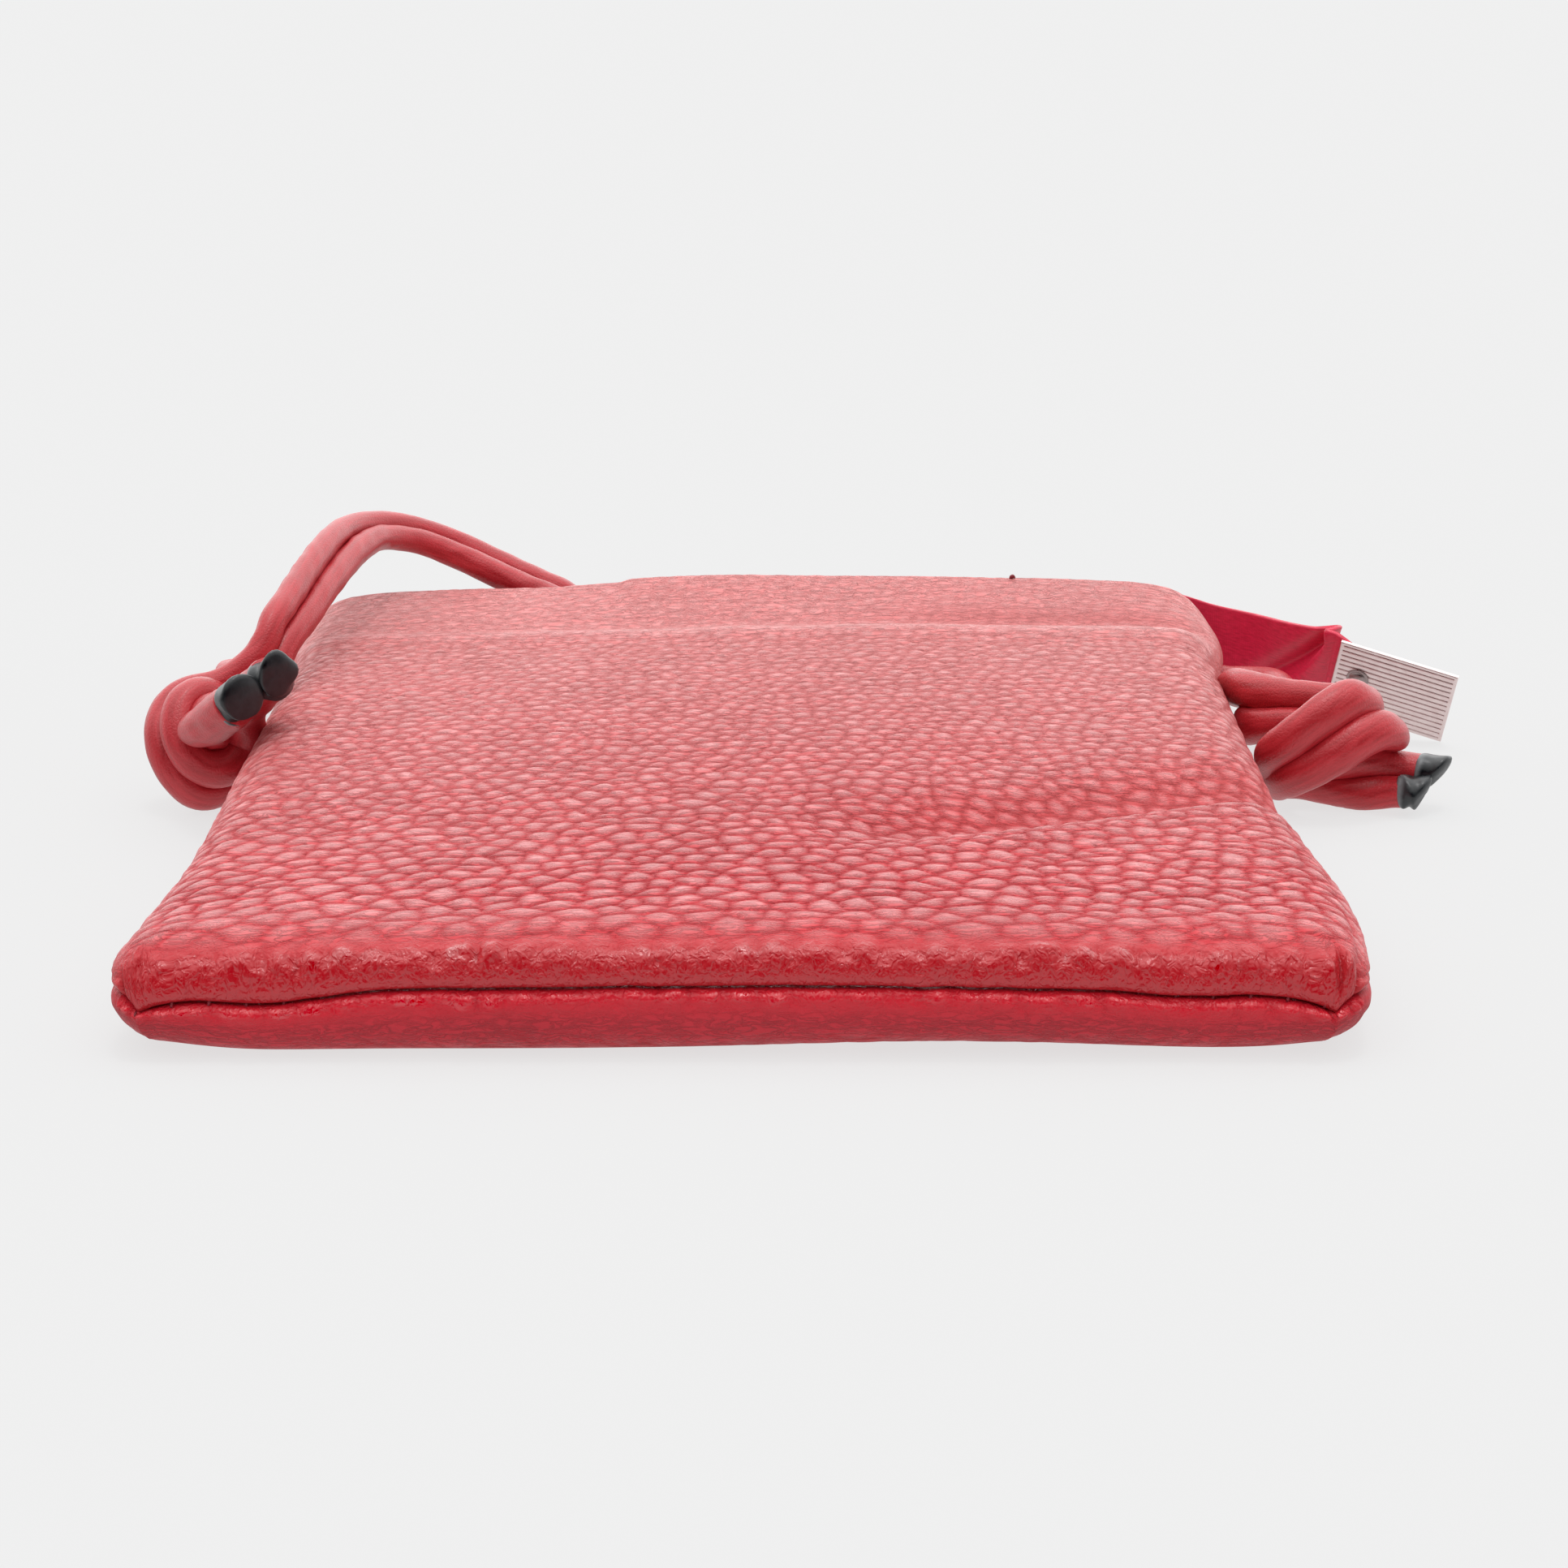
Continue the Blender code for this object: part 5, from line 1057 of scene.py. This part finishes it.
# cloth pieces: a grid of points becomes a thin closed sheet

def gridNormals(grid):
    normals = np.cross(np.gradient(grid, axis=1), np.gradient(grid, axis=0))
    return normals / np.linalg.norm(normals, axis=2)[:, :, None]


def makeCloth(name, grid, thickness, material, node, facing):
    normals = gridNormals(grid)
    if (normals * facing).sum() < 0:
        normals = -normals
    across, along = runLength(grid, 1), runLength(grid, 0)
    place = np.stack([across, along, 0 * across], axis=2).reshape(-1, 3)
    points = np.concatenate([(grid + normals * thickness / 2).reshape(-1, 3),
                             (grid - normals * thickness / 2).reshape(-1, 3)])
    piece = makePiece(name, points, slabFaces(*grid.shape[:2]), material,
                      {"clothPlace": np.concatenate([place, place])}, outward=True)
    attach(piece, "root")
    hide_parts(node)
    size = (float(across[:, -1].mean()) * mm, float(along[-1].mean()) * mm)
    return piece, size


# points of a smooth curve through the given ones, for arrays of any width
def smoothRows(rows, count):
    rows = np.asarray(rows, float)
    ends = np.concatenate([2 * rows[:1] - rows[1:2], rows, 2 * rows[-1:] - rows[-2:-1]])
    place = np.linspace(0, len(rows) - 1, count)
    k = np.minimum(place.astype(int), len(rows) - 2)
    f = (place - k).reshape((-1,) + (1,) * (rows.ndim - 1))
    a, b, c, d = ends[k], ends[k + 1], ends[k + 2], ends[k + 3]
    square, cube = 2 * a - 5 * b + 4 * c - d, 3 * b - a - 3 * c + d
    return 0.5 * (2 * b + (c - a) * f + square * f ** 2 + cube * f ** 3)


# satin linings: they follow the leather at a small distance and stop short of the crease
lining = {
    "flatColumns": 96, "flatRows": 96, "nearRow": 1.4, "farRow": 1.7, "rollSteps": 10, "grooveSteps": 2,
    "flangeSteps": 1, "inset": 1.85, "thickness": 0.3, "topY": 66.0, "slack": 0.5, "slackSize": 14.0,
    "seed": 20,
}
flatSizes = {}
for half, height, sign in (("front", topHeight, 1), ("back", underHeight, -1)):
    base = layBase(height, sign, lining)
    outside = surfaceNormals(base, sign)
    skip = lining["grooveSteps"] + lining["flangeSteps"]
    slack = softNoise(base[..., 0], base[..., 1], lining["slackSize"], lining["seed"] + sign)
    inner = base - outside * lining["inset"]
    inner -= outside * (lining["slack"] * (0.5 + 0.5 * slack))[..., None]
    keep = base[:, base.shape[1] // 2, 1] < lining["topY"]
    inner = inner[keep][skip:, skip:-skip]
    clothPiece, size = makeCloth(f"{half}_satin", inner, lining["thickness"], liningSatin, f"{half}_lining",
                                 (0, 0, sign))
    flatSizes[clothPiece.name] = size

# satin bands that close the cord channels: place along the pouch and drop under the leather's face
band = {
    "profile": ((67.8, 1.75), (70.5, 3.3), (73.9, 7.0), (79.2, 7.1), (82.6, 7.1), (87.4, 7.0), (89.2, 2.3)),
    "deepest": 7.1, "steps": 26, "columns": 110, "thickness": 0.4, "ruck": 0.35, "ruckSize": 5.0,
    "ruckFrom": 2.0, "ruckFull": 6.0, "seed": 30,
}
for half, height, sign in (("front", topHeight, 1), ("back", underHeight, -1)):
    profile = smoothRows(band["profile"], band["steps"])
    share = np.linspace(-1, 1, band["columns"] + 1)
    y = np.repeat(profile[:, :1], len(share), 1)
    drop = np.minimum(np.repeat(profile[:, 1:], len(share), 1), band["deepest"])
    x = share[None, :] * (halfWidth(y) - pouch["channelEnd"])
    ruck = band["ruck"] * (0.5 + 0.5 * softNoise(x, y, band["ruckSize"], band["seed"] + sign))
    drop = drop + ruck * smoothStep(band["ruckFrom"], band["ruckFull"], drop)
    grid = np.stack([x, y, height(x, y) - sign * drop], axis=2)
    clothPiece, size = makeCloth(f"{half}_band", grid, band["thickness"], liningSatin, f"{half}_channel_band",
                                 (0, 0, sign))
    flatSizes[clothPiece.name] = size
print("linings and bands hung")

# the satin tab: lower and upper edge, in millimetres from the floor under the mouth's right corner. Its fold,
# ripple and bunched end are placed by the number of the route row.
tab = {
    "route": (
        ((-32.0, 0.9, 9.5), (-32.0, 0.9, 21.3)), ((-22.0, 0.9, 9.5), (-22.0, 0.9, 21.3)),
        ((-14.0, 1.8, 9.3), (-14.0, 1.8, 21.4)), ((-7.0, 2.8, 8.6), (-7.0, 2.7, 21.3)),
        ((1.4, 2.1, 6.2), (1.4, 2.5, 18.9)), ((9.5, -1.5, 5.2), (9.3, -2.5, 17.9)),
        ((15.5, -6.5, 5.0), (16.2, -9.5, 17.8)), ((18.6, -10.5, 5.4), (19.2, -15.0, 18.2)),
        ((19.2, -12.8, 6.1), (20.4, -18.3, 17.9)), ((25.2, -14.8, 4.6), (26.0, -19.0, 13.8)),
    ),
    "along": 120, "across": 36, "thickness": 0.8, "shownFrom": (3.4, 4.6), "shownTo": (7.2, 7.7),
    "foldLow": 4.75, "foldHigh": 6.75, "foldDeep": 3.0, "foldSpread": 0.38,
    "swell": 1.5, "swellPast": 0.75, "swellSpread": 0.55, "low": 0.6, "highMore": 0.4,
    "ripple": 0.5, "rippleAlong": 2.1, "rippleUp": 1.5, "rippleFrom": (3.4, 4.2), "rippleTo": (5.0, 6.0),
    "bunch": 1.0, "bunchAt": 7.1, "bunchSpread": 0.5, "bunchFrom": 0.82, "bunchUp": 0.7,
}
mouthCorner = np.array([pouch["mouthCorner"], pouch["mouthY"], 0])
rows = smoothRows(tab["route"], tab["along"])
k = np.linspace(0, len(tab["route"]) - 1, tab["along"])[:, None]
t = np.linspace(0, 1, tab["across"] + 1)[None, :]
grid = rows[:, None, 0] * (1 - t[..., None]) + rows[:, None, 1] * t[..., None] + mouthCorner
outward = gridNormals(grid)
outward *= -np.sign(outward[..., 1:2])
line = tab["foldLow"] + (tab["foldHigh"] - tab["foldLow"]) * t
shown = smoothStep(*tab["shownFrom"], k) * (1 - smoothStep(*tab["shownTo"], k))
swell = tab["swell"] * bell(k, line + tab["swellPast"], tab["swellSpread"])
shape = swell - tab["foldDeep"] * bell(k, line, tab["foldSpread"])
ripple = tab["ripple"] * np.sin(tab["rippleAlong"] * k + tab["rippleUp"] * t)
shape = shape + ripple * smoothStep(*tab["rippleFrom"], k) * (1 - smoothStep(*tab["rippleTo"], k))
shape = shape * (tab["low"] + tab["highMore"] * t)
bunch = tab["bunch"] * bell(k, tab["bunchAt"], tab["bunchSpread"]) * smoothStep(tab["bunchFrom"], 1.0, t)
grid = grid + outward * (shape * shown + bunch)[..., None]
grid[..., 2] += tab["bunchUp"] * bunch
clothPiece, size = makeCloth("satin_tab", grid, tab["thickness"], tabSatin, "label_tab", (0, -1, 0))
flatSizes["satin_tab"] = size

# the cast tag: fine ribs inside a narrow raised rim, and a hollow back
tag = {
    "corner": (18.6, -13.8, 5.2), "run": (0.925, -0.300, -0.235), "lean": (0.050, -0.400, 0.910),
    "length": 20.5, "height": 14.0, "thickness": 1.2, "ribs": 13, "ribSteps": 10, "ribPower": 0.7,
    "depth": 0.17, "rim": 0.5, "rimSlope": 0.12, "round": 0.14, "roundShare": 0.3, "margin": 0.9,
    "columns": 24, "rivetAlong": 4.2, "rivetUp": 7.6, "rivet": 3.8, "rivetSides": 40, "rise": 0.9,
    "seat": 0.3, "sunk": 0.2, "tab": 0.9, "hollow": 0.4,
}
run = Vector(tag["run"]).normalized()
lean = Vector(tag["lean"])
lean = (lean - run * lean.dot(run)).normalized()
plateFrame = np.array([run, lean, run.cross(lean)])
plateCorner = mouthCorner + np.array(tag["corner"])


def onPlate(local):
    return plateCorner + np.asarray(local) @ plateFrame


inRim = tag["rim"] + tag["rimSlope"]
border = (0.0, tag["round"] * tag["roundShare"], tag["round"], tag["rim"], inRim)
ribRun = tag["height"] - 2 * inRim
ribCuts = tag["ribs"] * tag["ribSteps"]
columnCuts = tuple(np.linspace(tag["margin"], tag["length"] - tag["margin"], tag["columns"]))
rowCuts = tuple(inRim + ribRun * i / ribCuts for i in range(1, ribCuts))
a, b = np.meshgrid(np.array(border + columnCuts + tuple(tag["length"] - e for e in border[::-1])),
                   np.array(border + rowCuts + tuple(tag["height"] - e for e in border[::-1])))
fromRim = np.minimum(np.minimum(a, tag["length"] - a), np.minimum(b, tag["height"] - b))
rib = np.abs(np.sin(math.pi * tag["ribs"] * (b - tag["rim"] - tag["rimSlope"]) / ribRun)) ** tag["ribPower"]
bevel = tag["round"] * (1 - np.clip(fromRim / tag["round"], 0, 1)) ** 2
front = tag["thickness"] / 2 - tag["depth"] * (1 - rib) * smoothStep(tag["rim"], inRim, fromRim) - bevel
back = -tag["thickness"] / 2 + tag["hollow"] + bevel
platePoints = [onPlate(np.stack([a, b, face], axis=2).reshape(-1, 3)) for face in (front, back)]
plate = makePiece("tag_metal", np.concatenate(platePoints), slabFaces(*a.shape), tagMetal, smooth=False)
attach(plate, "root")
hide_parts("tag_plate")

# rivets: a low flange, a groove and a dome, turned round their own axis
rivetProfile = ((0.02, 0.0), (1.0, 0.0), (1.0, 0.18), (0.95, 0.26), (0.86, 0.26), (0.82, 0.22), (0.78, 0.34),
                (0.7, 0.55), (0.55, 0.78), (0.36, 0.93), (0.18, 0.99), (0.02, 1.0))
turn = np.arange(tag["rivetSides"]) / tag["rivetSides"] * 2 * math.pi
for name, node, out, offset in (
        ("rivet_dome", "tag_rivet", 1, tag["thickness"] / 2 + tag["seat"] * tag["sunk"]),
        ("rivet_cap", "tag_rivet_back", -1, tag["thickness"] / 2 + tag["tab"] + 2 * tag["seat"])):
    rings = [np.stack([tag["rivetAlong"] + radius * tag["rivet"] / 2 * np.cos(turn),
                       tag["rivetUp"] + radius * tag["rivet"] / 2 * np.sin(turn),
                       np.full(len(turn), out * (offset + up * tag["rise"]))], axis=1)
             for radius, up in rivetProfile]
    rivetPiece = makePiece(name, onPlate(np.concatenate(rings)), tubeFaces(len(rings), len(turn)), rivetMetal,
                           outward=True)
    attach(rivetPiece, "root")
    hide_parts(node)
print("tab and tag set", {key: tuple(round(v, 4) for v in value) for key, value in flatSizes.items()})

# sewing thread: ties across the bottom and side seams, ties that hold the tab, and a loose end at the mouth
stitch = {
    "pitch": 4.7, "size": 0.36, "deep": 2.1, "shallow": 1.0, "shallowFrom": 45, "shallowFull": 72,
    "reach": 0.6, "slant": 0.25, "bow": 0.5, "bottomEnd": 77.0, "sideBottom": -80.0, "sideTop": 62.0,
    "tabFrom": 50.0, "tabTo": 66.0, "tabOut": 1.3, "tabDown": 1.2, "tabUp": 0.5, "tabIn": 0.5, "sides": 8,
    "rings": 7,
}
looseEnd = {"x": 44.5, "in": 0.3, "way": (1.1, 0.2, 0.3), "bow": (0.0, 0, 0.3), "size": 0.7}
threadPoints, threadFaces = [], []


def addStitch(start, end, bow, size):
    start, end, bow = np.array(start), np.array(end), np.array(bow)
    share = np.linspace(0, 1, stitch["rings"])[:, None]
    centres = start + (end - start) * share + bow * 4 * share * (1 - share)
    ahead = (end - start) / np.linalg.norm(end - start)
    # any way that isn't along the thread gives its rings a start
    beside = np.cross(ahead, (0.31, 0.52, 0.79))
    beside /= np.linalg.norm(beside)
    above = np.cross(ahead, beside)
    turn = np.arange(stitch["sides"]) / stitch["sides"] * 2 * math.pi
    thick = size / 2 * np.sqrt(np.clip(1 - (2 * share - 1) ** 6, 0.05, 1))
    ring = beside[None] * np.cos(turn)[:, None] + above[None] * np.sin(turn)[:, None]
    threadFaces.extend(tubeFaces(stitch["rings"], stitch["sides"], len(threadPoints)))
    threadPoints.extend((centres[:, None] + ring[None] * thick[:, :, None]).reshape(-1, 3).tolist())


for x in np.arange(-stitch["bottomEnd"], stitch["bottomEnd"] + 0.1, stitch["pitch"]):
    towardsCorner = float(smoothStep(stitch["shallowFrom"], stitch["shallowFull"], abs(x)))
    y = pouch["bottomY"] + stitch["deep"] + (stitch["shallow"] - stitch["deep"]) * towardsCorner
    level = float(seamHeight(x, pouch["bottomY"]))
    addStitch((x, y, level - stitch["reach"]), (x + stitch["slant"], y, level + stitch["reach"]),
              (0, -stitch["bow"], 0), stitch["size"])
for side in (-1, 1):
    for y in np.arange(stitch["sideBottom"], stitch["sideTop"], stitch["pitch"]):
        x = side * (float(halfWidth(y)) - stitch["deep"]) + float(sway(y))
        level = float(seamHeight(x, y))
        addStitch((x, y, level - stitch["reach"]), (x, y + stitch["slant"], level + stitch["reach"]),
                  (side * stitch["bow"], 0, 0), stitch["size"])
# the tab hangs from the lip of the mouth
for x in np.arange(stitch["tabFrom"], stitch["tabTo"], stitch["pitch"]):
    level = float(topHeight(x, pouch["mouthY"])) - pouch["leather"]
    y = pouch["mouthY"] + stitch["tabOut"]
    upper = (x + stitch["slant"], y - stitch["tabIn"], level + stitch["tabUp"])
    addStitch((x, y, level - stitch["tabDown"]), upper, (0, stitch["bow"], 0), stitch["size"])
nub = (looseEnd["x"], pouch["mouthY"] - looseEnd["in"], float(topHeight(looseEnd["x"], pouch["mouthY"])))
addStitch(nub, np.array(nub) + looseEnd["way"], looseEnd["bow"], looseEnd["size"])
threadPiece = makePiece("sewing_thread", threadPoints, threadFaces, threadPly)
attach(threadPiece, "root")
print("seams sewn")

print("done")
